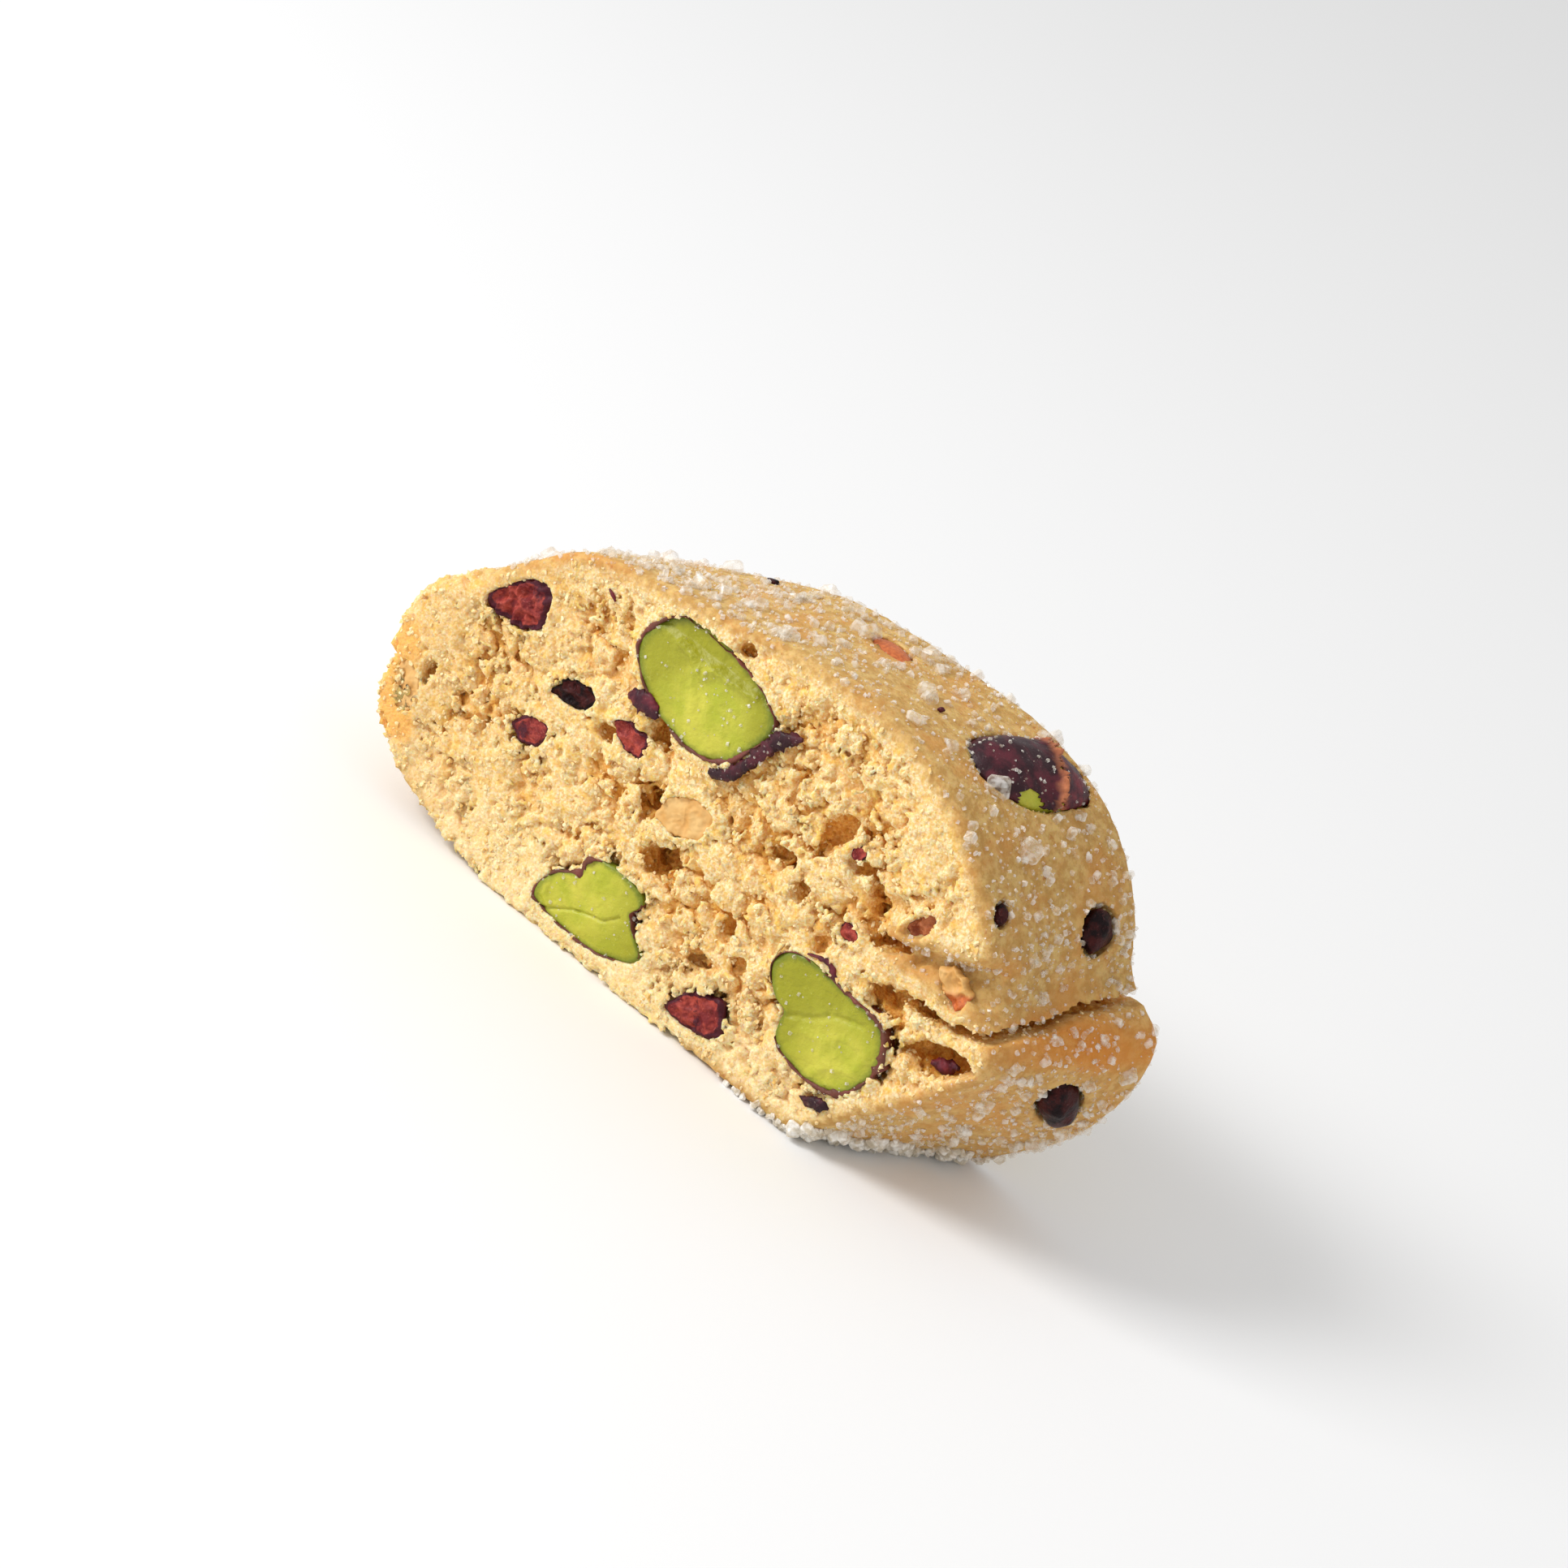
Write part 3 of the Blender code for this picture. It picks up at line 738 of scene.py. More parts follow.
def dough_finish():
    finish, b, shader = finish_bench("baked_dough", 0.75, shine=0.3)
    place = own_place(b)
    grainy = b.noise(0.9, 4.0, place, 0.65)
    fine = b.noise(0.28, 3.0, place, 0.7)
    east, ahead, height = (axis / MM for axis in b.along("XYZ", place))
    oily = oily_place(grainy, east, ahead, height)
    crumb = blended(b, oily * 0.85, crumb_colour(b, place, fine, height, east), (240, 178, 92))
    tan = crust_colour(b, place, grainy, east, height)
    cut = (stored(b, "inner") + (grainy - 0.5) * 1.6).rise(0.5, 1.8).at_least(oily)
    grit = fine * 0.6 - b.cells(place, 1.0 / (0.3 * MM)) * (0.35 + cut * 0.65)
    painted(b, shader, blended(b, cut, tan, crumb), 0.62 + 0.3 * fine, grit, 0.1)
    see_into(shader, 0.6, (1.0, 0.55, 0.2), 0.9)
    return finish


baked_dough = dough_finish()
print("the dough's finish has", len(baked_dough.node_tree.nodes), "nodes")

# %% Grow the dough
MOST_TRIANGLES = 196000


def thinned(piece, most=MOST_TRIANGLES):
    """Brings a mesh under a number of triangles, flat places first."""
    count = sum(len(p.vertices) - 2 for p in piece.data.polygons)
    if count > most:
        step = piece.modifiers.new("thin", "DECIMATE")
        step.ratio = most / count
        piece.data = applied(piece, step)
    piece.data.shade_smooth()
    print(f"{piece.name}: {count} triangles, kept {min(count, most)}")
    return piece


def placed(piece, slot, *replaced):
    """Ties a finished piece to the model's body and hides the nodes it stands for. Its slot is not used."""
    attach(piece, "root")
    if replaced:
        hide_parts(*replaced)
    return piece


dough = grow("dough_baked", crumb_shape, {
    "Crust guide": crust, "Cut guide": cad_dough, "Fillings guide": fillings,
    "Crevice guide": crevices, "Voxel": 0.25,
}, baked_dough)
thinned(dough)
placed(dough, "dough", "dough")
print("dough box", [round(v / MM, 1) for v in dough.dimensions])

# %% [markdown]
# ## Cut nuts and fruit
# A knife that meets a nut leaves a flat, slightly waxy face with a crisp rim, and the rest
# of the nut goes back into the dough as a rounded belly. All of them are made by one
# function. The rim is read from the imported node, as distances from its middle. Rings inside
# the rim make the cut face, where `relief` says how far each point lies under it, and
# smaller and smaller rings behind it make the belly.
#
# Two numbers are stored for the finish: `rim`, 0 at the middle of the cut face and 1 at its
# edge and on the belly, and `tone`, which a piece may set to shade a part of itself.

# %% Rims of cut pieces
CURVE_PARTS = 10
FACE_SLACK = 0.01  # corners this near the cut face belong to the rim


def rim_of(node, side, spokes):
    """The middle of a cut piece's face, its reach at every spoke and its depth."""
    corners = points_of(node)
    rim = corners[np.abs(corners[:, 1] - side * FACE) < FACE_SLACK][:, [0, 2]]
    rim = np.unique(np.round(rim, 3), axis=0)
    middle = (rim.min(axis=0) + rim.max(axis=0)) / 2.0
    rim = rim[np.argsort(np.arctan2(rim[:, 1] - middle[1], rim[:, 0] - middle[0]))]
    fine = []
    for k in range(len(rim)):
        four = [rim[(k + i) % len(rim)] for i in FOUR]
        fine += [on_curve(four, t) for t in np.arange(CURVE_PARTS) / CURVE_PARTS]
    fine = np.array(fine) - middle
    turn = np.arctan2(fine[:, 1], fine[:, 0])
    order = np.argsort(turn)
    grid = np.linspace(-math.pi, math.pi, spokes, endpoint=False)
    reach = np.interp(grid, turn[order], np.hypot(fine[:, 0], fine[:, 1])[order], period=math.tau)
    depth = corners[:, 1].max() - corners[:, 1].min()
    return middle, grid, reach, depth


def uneven(x, y, z, size, seed=0.0):
    """Noise from -1 to 1 with lumps of about `size` millimetres."""
    return noise.noise(Vector((x / size + seed, y / size, z / size - seed)))


def closed_rows(rows, first, last):
    """A closed bmesh through rows of points, drawn in to a point at both ends."""
    bm = bmesh.new()
    layers = [[bm.verts.new(p) for p in row] for row in rows]
    skin_over(bm, layers)
    for layer, tip in ((layers[0], first), (layers[-1], last)):
        point = bm.verts.new(tip)
        for i in range(len(layer)):
            bm.faces.new((layer[i], layer[(i + 1) % len(layer)], point))
    return turned_outwards(bm)


def store(piece, name, values):
    layer = piece.data.attributes.new(name, "FLOAT", "POINT")
    layer.data.foreach_set("value", np.asarray(values, dtype=np.float32))


def toned(piece, middle, tone_at):
    """Stores a tone at every corner, from where it lies on the cut face."""
    store(piece, "tone", [
        min(1.0, max(0.0, tone_at(v.co.x / MM - middle[0], v.co.z / MM - middle[1])))
        for v in piece.data.vertices
    ])


def dressed(piece, finish):
    piece.data.materials.append(finish)
    piece.data.shade_smooth()
    return piece


def cut_piece(name, node, side, relief, finish, jag=0.0, shrink=1.0, spokes=120, rings=24, belly=10):
    """A nut or fruit cut through by a face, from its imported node's rim."""
    middle, grid, reach, depth = rim_of(node, side, spokes)
    seed = (sum(ord(c) for c in node) % 97) / 3.7
    ways = [(math.cos(a), math.sin(a)) for a in grid]
    reach = [
        r * shrink * (1.0 + jag * (uneven(x, z, 0.0, 0.45, seed) + 0.5 * uneven(x, z, 0.0, 0.16, seed)))
        for (x, z), r in zip(ways, reach)
    ]

    def across(share):
        return [(middle[0] + r * share * x, middle[1] + r * share * z) for (x, z), r in zip(ways, reach)]

    rows, rims = [], []
    for k in range(rings):
        share = 1.0 - (1.0 - (k + 1) / rings) ** 1.5
        rows.append([
            (x, side * (FACE - relief(x - middle[0], z - middle[1], share)), z) for x, z in across(share)
        ])
        rims += [share] * spokes
    sunk = [FACE - abs(spot[1]) for spot in rows[-1]]
    for k in range(1, belly):
        lean = 0.5 * math.pi * k / belly
        rows.append([
            (x, side * (FACE - under - (depth - under) * math.sin(lean)), z)
            for (x, z), under in zip(across(math.cos(lean)), sunk)
        ])
        rims += [1.0] * spokes
    front = (middle[0], side * (FACE - relief(0.0, 0.0, 0.0)), middle[1])
    behind = (middle[0], side * (FACE - depth), middle[1])
    piece = dressed(joined_object(name, closed_rows(rows, front, behind)), finish)
    store(piece, "rim", rims + [0.0, 1.0])
    return piece, middle


print("cut pieces can be made")

# %% [markdown]
# ## Pistachio kernels
# Under its purple skin a pistachio is green outside and yellow-green inside. The saw marks
# of the knife leave low ridges across the cut face, and where the two halves of the kernel
# meet there is a fine seam. `tone` darkens the rim and the parts that lie away from the
# yellow middle, and puts painted shade on the lowered band beyond a step.

# %% Finish of the pistachios
def pistachio_finish():
    finish, b, shader = finish_bench("pistachio_green", 0.42, coat=0.12, shine=0.35)
    place = own_place(b)
    cloudy = b.noise(2.2, 3.0, place)
    fine = b.noise(0.35, 3.0, place, 0.65)
    inside = blended(b, cloudy.rise(0.3, 0.7), (172, 176, 40), (200, 194, 66))
    # Darker green away from the yellow middle, and painted shade where the tone was raised beyond a step.
    away = (stored(b, "tone") + (cloudy - 0.5) * 0.6).rise(0.1, 0.9)
    green = blended(b, away, inside, (154, 152, 22))
    edge = (stored(b, "rim") + (fine - 0.5) * 0.1).rise(0.84, 1.0) * 0.85
    green = blended(b, edge, green, (98, 114, 20))
    chalky = b.noise(0.4, 4.0, place, 0.75, shift=5.0).rise(0.6, 0.7) * 0.4
    height = fine + cloudy * 1.5 + b.noise(0.8, 3.0, place) * 1.5
    painted(b, shader, blended(b, chalky, green, (206, 208, 110)), 0.3 + fine * 0.3, height, 0.09)
    see_into(shader, 0.15, (0.6, 0.8, 0.2), 0.8)
    return finish


pistachio_green = pistachio_finish()


# %% Cut pistachios
def line_distance(x, z, points):
    """Distance from a point to a drawn line."""
    nearest = 1e9
    for (ax, az), (bx, bz) in zip(points, points[1:]):
        length = (bx - ax) ** 2 + (bz - az) ** 2
        t = min(max(((x - ax) * (bx - ax) + (z - az) * (bz - az)) / length, 0.0), 1.0)
        nearest = min(nearest, math.hypot(x - ax - (bx - ax) * t, z - az - (bz - az) * t))
    return nearest


def bell(distance, width):
    return math.exp(-((distance / width) ** 2))


# Kernel: its yellow place, how far the yellow reaches, and its marks. A mark is a line from
# the middle of the kernel: points, width, and height over the face. A step is a line too,
# above which the face lies lower and gets painted shade through a raised tone.
KERNELS = {
    "pistachio_top": ((1.2, -1.6), 6.5, (
        (((-3.6, 2.4), (-2.4, 2.2), (-0.8, 1.2), (0.2, 2.4), (2.2, 2.5), (4.4, 2.7)), 0.5, 0.34),
        (((-1.6, 0.8), (-0.6, -0.8), (0.6, -2.8)), 0.5, 0.1),
    ), (((-2.4, 2.2), (0.2, 2.4), (4.4, 2.7)), 0.45)),
    "pistachio_left": ((-2.2, 0.4), 8.0, (
        (((-4.6, -3.6), (-1.8, -1.8), (-0.2, -1.2), (1.2, -0.8), (2.4, 0.4)), 0.14, -0.24),
        (((-5.0, -1.2), (-4.7, -2.4), (-4.0, -3.0)), 0.3, 0.14),
    )),
    "pistachio_right": ((2.6, -1.4), 6.0, (
        (((-2.6, -0.6), (-0.6, 0.5), (0.5, 1.7), (2.3, 2.3), (3.4, 2.7)), 0.3, -0.2),
        (((0.9, -4.4), (2.2, -2.3), (4.5, -1.2), (4.8, 0.8)), 0.4, 0.14),
        (((-1.0, -1.0), (1.0, -0.6), (2.4, 0.6)), 0.5, 0.12),
    )),
    "pistachio_rear_high": ((0.8, -0.6), 6.0, ((((-4.0, 0.8), (0.0, 0.2), (3.6, -0.9)), 0.14, -0.2),)),
    "pistachio_rear_low": ((-0.8, 0.5), 6.0, ((((-2.6, -1.6), (0.4, 0.4), (2.6, 2.4)), 0.3, 0.14),)),
    "pistachio_rear_end": ((0.3, 0.2), 5.0, ((((-1.8, -2.0), (0.2, 0.2), (1.6, 2.2)), 0.14, -0.2),)),
}


def side_of(node):
    """-1 for the front cut face and 1 for the rear one."""
    return -1 if points_of(node)[:, 1].mean() < 0.0 else 1


def cut_kernel(node, glow, reach, marks, step=None):
    side = side_of(node)

    def relief(x, z, share):
        height = 0.14 * uneven(x, 1.0, z, 2.4) + 0.035 * uneven(x, 4.0, z, 0.6)
        height += 0.02 * math.sin((x * 0.8 + z * 0.5) * 5.0) * (1.0 - share)
        for points, width, rise in marks:
            rough = 1.0 + 0.5 * uneven(x, 9.0, z, 0.5)
            height += rise * rough * bell(line_distance(x, z, points), width)
        if step:
            height -= step[1] * min(1.0, max(0.0, z - step[0][1][1]) / 0.6)
        return 0.2 - height + 0.16 * max(0.0, (share - 0.94) / 0.06) ** 2

    def tone(x, z):
        # Above the step the face is sunk, and its tone is raised by 0.6 as painted shade.
        shaded_band = step and z > step[0][1][1]
        return min(1.0, math.hypot(x - glow[0], z - glow[1]) / reach) ** 1.5 + (0.6 if shaded_band else 0.0)

    spokes, rings = (200, 56) if side < 0 else (110, 26)
    piece, middle = cut_piece(
        node.replace("pistachio", "kernel"), node, side, relief, pistachio_green,
        jag=0.015, shrink=0.985, spokes=spokes, rings=rings,
    )
    toned(piece, middle, tone)
    return placed(piece, "pistachio", node)


for node, parts in KERNELS.items():
    made = cut_kernel(node, *parts)
    print(f"{made.name}: {len(made.data.polygons)} faces")

# %% [markdown]
# ## Fruit and almond pieces
# The dried berries are chopped: their cut faces are dull, reddish and pitted, and a darker
# purple skin shows at an edge. The almonds are pale and firm, with flat breaks and a warm
# brown skin at one edge. They are made by the same function as the kernels, with a rougher
# relief and a more ragged rim.

# %% Finishes of the fruit and the almonds
def fruit_finish(name, flesh, deep, skin, gloss, flour, shine=0.2):
    finish, b, shader = finish_bench(name, gloss, coat=0.05, shine=shine)
    place = own_place(b)
    cloudy = b.noise(1.3, 3.0, place, 0.6)
    fine = b.noise(0.3, 4.0, place, 0.7)
    # Painted highlights: small specks of the flesh colour made paler.
    painted_highlight = [min(255, v + 52) for v in flesh]
    pulp = blended(b, cloudy.rise(0.38, 0.62), deep, flesh)
    pulp = blended(b, fine.rise(0.56, 0.7) * 0.5, pulp, painted_highlight)
    edge = (stored(b, "rim") - 0.72).at_least(0.0) * 1.4
    outside = b.noise(2.6, 2.0, place, shift=6.0) * 0.7 + edge + (fine - 0.5) * 0.25
    pulp = blended(b, outside.rise(0.42, 0.5), pulp, skin)
    dusty = b.noise(0.5, 4.0, place, 0.75, shift=2.0).rise(0.66, 0.74) * flour
    pulp = blended(b, dusty, pulp, (214, 186, 150))
    painted(b, shader, pulp, gloss - 0.12 + fine * 0.3, fine + cloudy * 1.5, 0.14)
    return finish


berry_red = fruit_finish("berry_red", (180, 74, 60), (120, 34, 36), (76, 22, 36), 0.4, 0.4)
berry_dark = fruit_finish("berry_dark", (66, 20, 18), (20, 5, 7), (24, 5, 8), 0.34, 0.1, 0.1)
berry_brown = fruit_finish("berry_brown", (186, 112, 72), (134, 62, 38), (100, 36, 30), 0.5, 0.5)


def almond_finish():
    finish, b, shader = finish_bench("almond_cream", 0.5, coat=0.05)
    place = own_place(b)
    cloudy = b.noise(2.0, 3.0, place)
    fine = b.noise(0.3, 3.0, place, 0.65)
    edge = (stored(b, "rim") + (fine - 0.5) * 0.3).rise(0.75, 1.0) * 0.5
    flesh = blended(b, cloudy.rise(0.35, 0.65), (212, 156, 80), (226, 182, 114))
    flesh = blended(b, edge, flesh, (216, 164, 92))
    skin = blended(b, fine.rise(0.3, 0.7), (176, 84, 36), (212, 116, 56))
    painted(b, shader, blended(b, stored(b, "tone"), flesh, skin), 0.4 + fine * 0.3, fine, 0.05)
    return finish


almond_cream = almond_finish()

# %% Chopped pieces in the cut faces
SLOTS = {  # finish: the record's material slot
    pistachio_green: "pistachio", berry_red: "berry", berry_dark: "dark_berry",
    berry_brown: "brown_fruit", almond_cream: "almond",
}
CHIPS = {  # node: finish, how deep it lies, roughness of its face, raggedness of its rim
    "cranberry_corner": (berry_red, 0.3, 1.0, 0.12),
    "cranberry_dark": (berry_dark, 0.45, 0.6, 0.16),
    "cranberry_small": (berry_red, 0.4, 0.4, 0.14),
    "cranberry_torn": (berry_red, 0.45, 0.6, 0.14),
    "cranberry_base": (berry_red, 0.3, 0.6, 0.12),
    "cranberry_speck": (berry_red, 0.5, 0.4, 0.16),
    "cranberry_chip": (berry_red, 0.5, 0.4, 0.16),
    "cranberry_pale": (berry_brown, 0.9, 0.5, 0.16),
    "cranberry_rear_a": (berry_red, 0.35, 0.4, 0.12),
    "cranberry_rear_b": (berry_red, 0.35, 0.4, 0.12),
    "cranberry_rear_c": (berry_dark, 0.4, 0.4, 0.12),
    "cranberry_rear_d": (berry_red, 0.35, 0.4, 0.12),
    "almond_middle": (almond_cream, 0.35, 0.35, 0.2),
    "almond_split": (almond_cream, 0.75, 0.6, 0.24),
    "almond_end": (almond_cream, 0.1, 0.35, 0.16),
    "almond_rear_a": (almond_cream, 0.3, 0.16, 0.06),
    "almond_rear_b": (almond_cream, 0.3, 0.16, 0.06),
}
# The side of an almond piece that still has its skin, in degrees, and where the skin starts.
ALMOND_SKIN = {"almond_split": (-60.0, 0.1), "almond_rear_b": (60.0, 0.3)}
NO_SKIN = 99.0


def chopped_piece(node, finish, sunk, rough, jag):
    seed = len(node) * 1.7 + sunk

    def relief(x, z, share):
        fold = abs(uneven(x, seed, z, 1.3)) + 0.5 * abs(uneven(x, seed, z, 0.55))
        return sunk + rough * (fold - 0.25) + 0.2 * max(0.0, (share - 0.85) / 0.15) ** 2

    def tone(x, z):
        lean = x * math.cos(turn) + z * math.sin(turn)
        return (lean - skin_from + 0.3 * uneven(x, 2.0, z, 0.8)) / 0.5

    turn, skin_from = ALMOND_SKIN.get(node, (0.0, NO_SKIN))
    turn = math.radians(turn)
    piece, middle = cut_piece(
        node + "_cut", node, side_of(node), relief, finish, jag, spokes=90, rings=22, belly=8,
    )
    toned(piece, middle, tone)
    return placed(piece, SLOTS[finish], node)


for node, parts in CHIPS.items():
    chopped_piece(node, *parts)
print(len(CHIPS), "chopped pieces")

# %% [markdown]
# ## Purple skins round the kernels
# The papery skin of a pistachio stays on it in the oven. Cut through, it is a dark purple
# line round the kernel, thick where it has creased and missing where it rubbed off. It is
# made as a closed band that follows the kernel's rim. Where there is no skin the band sinks
# into the nut, so that it stays one piece.

# %% Finish of the skins
def skin_finish(name, dark, plum, torn, dusting):
    finish, b, shader = finish_bench(name, 0.4, coat=0.08, shine=0.25)
    place = own_place(b)
    cloudy = b.noise(1.6, 3.0, place, 0.6)
    fine = b.noise(0.25, 4.0, place, 0.7)
    dusty = b.noise(0.4, 4.0, place, 0.75, shift=2.0).rise(0.6, 0.7) * dusting
    skin = blended(b, cloudy.rise(0.4, 0.7), dark, plum)
    skin = blended(b, stored(b, "tone"), skin, torn)
    skin = blended(b, dusty, skin, (216, 200, 190))
    painted(b, shader, skin, 0.28 + fine * 0.3, fine + cloudy, 0.08)
    return finish


skin_purple = skin_finish("skin_purple", (46, 14, 24), (92, 32, 44), (222, 136, 90), 0.4)
skin_plum = skin_finish("skin_plum", (62, 16, 32), (124, 42, 52), (222, 136, 86), 0.2)

# %% Skin bands
# Stretches of skin: node, then the middle, half length (both in degrees) and thickness of each.
SKINS = {
    "pistachio_top": (
        (165.0, 34.0, 0.34), (-150.0, 30.0, 0.2), (-75.0, 34.0, 0.34), (-30.0, 30.0, 0.5),
        (40.0, 50.0, 0.12),
    ),
    "pistachio_left": ((150.0, 42.0, 0.62), (-150.0, 40.0, 0.2), (-85.0, 50.0, 0.26), (20.0, 40.0, 0.1)),
    "pistachio_right": (
        (80.0, 34.0, 0.25), (40.0, 30.0, 0.5), (5.0, 40.0, 0.8), (-50.0, 34.0, 0.6),
        (-100.0, 40.0, 0.2), (150.0, 30.0, 0.1),
    ),
    "pistachio_rear_high": ((30.0, 60.0, 0.35), (-140.0, 50.0, 0.3)),
    "pistachio_rear_low": ((120.0, 60.0, 0.4), (-60.0, 40.0, 0.25)),
    "pistachio_rear_end": ((-20.0, 70.0, 0.35),),
}
BAND_SPOKES = 260
BAND_DEPTH = 1.6
BAND_STAND = 0.12  # how far a skin stands over the cut face of its kernel
BAND_TONE = 0.15


def band_thickness(angle, stretches, x, z, seed):
    thick = 0.0
    for centre, half, most in stretches:
        away = abs((math.degrees(angle) - centre + 180.0) % 360.0 - 180.0)
        thick = max(thick, most * max(0.0, 1.0 - (away / half) ** 2))
    return thick * (1.0 + 0.9 * uneven(x, 1.0, z, 0.7, seed) + 0.4 * uneven(x, 5.0, z, 0.3))


def skin_band(node, stretches):
    side = side_of(node)
    middle, grid, reach, depth = rim_of(node, side, BAND_SPOKES)
    rows = []
    for a, r in zip(grid, reach):
        x, z = math.cos(a), math.sin(a)
        thick = band_thickness(a, stretches, x * r, z * r, len(node))
        shown = min(1.0, thick / 0.06)
        inner = r - 0.1 - 0.5 * thick - 0.5 * (1.0 - shown)
        outer = inner + max(thick, 0.05)
        stand = BAND_STAND + 0.25 * uneven(x * r, 2.0, z * r, 0.8) - 0.2 - 0.5 * (1.0 - shown)
        profile = (
            (inner, -BAND_DEPTH), (inner, stand - 0.06), (0.5 * (inner + outer), stand),
            (outer, stand - 0.05), (outer, -BAND_DEPTH),
        )
        rows.append([
            (middle[0] + x * reach_out, side * (FACE + height), middle[1] + z * reach_out)
            for reach_out, height in profile
        ])
    bm = bmesh.new()
    loops = [[bm.verts.new(p) for p in row] for row in rows]
    skin_over(bm, loops + loops[:1])
    piece = dressed(joined_object(node.replace("pistachio", "skin"), turned_outwards(bm)), skin_purple)
    store(piece, "tone", [BAND_TONE] * len(piece.data.vertices))
    return placed(piece, "dark_berry")


for node, stretches in SKINS.items():
    skin_band(node, stretches)
print(len(SKINS), "skin bands")

# %% [markdown]
# ## Loose strips of skin
# At the lower edge of the top kernel the skin has come off and lies in the crumb as a
# creased strip, and smaller shreds lie near the others. Each is a lumpy closed tube along a
# few points, flattened and ragged.

# %% Loose strips
STRIPS = {  # points x, y, z, with the half width and half thickness at each
    "strip_top": ((
        (-3.6, -8.4, 21.9, 0.25, 0.15), (-2.5, -8.5, 22.2, 0.5, 0.22), (-1.5, -8.5, 23.2, 0.6, 0.24),
        (-0.7, -8.5, 24.9, 0.5, 0.22), (0.1, -8.5, 26.6, 0.6, 0.22), (0.8, -8.4, 27.9, 0.65, 0.24),
        (1.7, -8.3, 28.7, 0.5, 0.25), (2.5, -8.2, 29.2, 0.2, 0.15),
    ), "dark_berry"),
    "flap_top": ((
        (-13.3, -8.3, 22.6, 0.15, 0.1), (-12.6, -8.4, 22.9, 0.6, 0.18), (-11.7, -8.45, 23.1, 0.75, 0.2),
        (-10.7, -8.45, 22.9, 0.6, 0.2), (-10.0, -8.3, 22.5, 0.2, 0.12),
    ), "berry"),
    "shred_right": ((
        (11.6, -8.3, 14.5, 0.08, 0.08), (12.6, -8.4, 14.9, 0.16, 0.14), (13.6, -8.4, 15.1, 0.22, 0.16),
        (14.4, -8.3, 14.6, 0.3, 0.16), (14.9, -8.2, 14.1, 0.1, 0.1),
    ), "berry"),
    "shred_below": ((
        (19.6, -8.3, 4.6, 0.1, 0.1), (19.0, -8.4, 4.5, 0.4, 0.2), (18.1, -8.4, 4.2, 0.45, 0.2),
        (17.4, -8.3, 3.9, 0.3, 0.2), (16.8, -8.2, 3.8, 0.08, 0.1),
    ), "dark_berry"),
    "sliver_face": ((
        (-19.2, -8.2, 29.1, 0.06, 0.06), (-18.7, -8.3, 28.9, 0.16, 0.12), (-18.2, -8.2, 28.5, 0.06, 0.06),
    ), "berry"),
    "shred_hollow": ((
        (24.8, -6.9, 13.2, 0.2, 0.2), (25.6, -6.6, 13.4, 0.55, 0.4), (26.5, -6.6, 13.9, 0.5, 0.4),
        (27.1, -6.9, 14.3, 0.15, 0.2),
    ), "berry"),
    "speck_crust": ((
        (8.9, -2.2, 35.75, 0.1, 0.08), (9.1, -1.95, 35.8, 0.24, 0.14), (9.3, -1.7, 35.8, 0.1, 0.08),
    ), "dark_berry"),
}
STRIP_SIDES = 12
STRIP_STEPS = 8


def strip(name, points, slot):
    rows, path = [], []
    points = np.array(points)
    last = len(points) - 1
    for k in range(last):
        four = [points[min(max(k + i, 0), last)] for i in FOUR]
        steps = STRIP_STEPS + (k == last - 1)
        path += [on_curve(four, t) for t in np.arange(steps) / STRIP_STEPS]
    for k, spot in enumerate(path):
        ahead = path[min(k + 1, len(path) - 1)] - path[max(k - 1, 0)]
        ahead = Vector(ahead[:3]).normalized()
        across = ahead.cross(Vector((0.0, 1.0, 0.0))).normalized()
        rise = across.cross(ahead)
        place = Vector(spot[:3])
        row = []
        for i in range(STRIP_SIDES):
            turn = math.tau * i / STRIP_SIDES
            ragged = 1.0 + 0.8 * uneven(place.x + turn, place.y, place.z, 0.6, len(name))
            ragged += 0.5 * uneven(place.x - turn, place.y, place.z, 0.28, len(name))
            out = across * math.cos(turn) * spot[3] * ragged + rise * math.sin(turn) * spot[4] * ragged
            row.append(place + out)
        rows.append(row)
    piece = joined_object(name, closed_rows(rows, Vector(path[0][:3]), Vector(path[-1][:3])))
    dressed(piece, skin_purple if slot == "dark_berry" else skin_plum)
    store(piece, "tone", [0.0] * len(piece.data.vertices))
    return placed(piece, slot)


for name, (points, slot) in STRIPS.items():
    strip(name, points, slot)
print(len(STRIPS), "strips and shreds")

# %% [markdown]
# ## Pieces in the crust
# A nut or berry under the crust shows as a patch that barely stands out, since the dough
# was rolled round it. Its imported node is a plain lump. The lump is subdivided, creased with
# noise along its normals, and then pressed back so that it stands little over the crust.

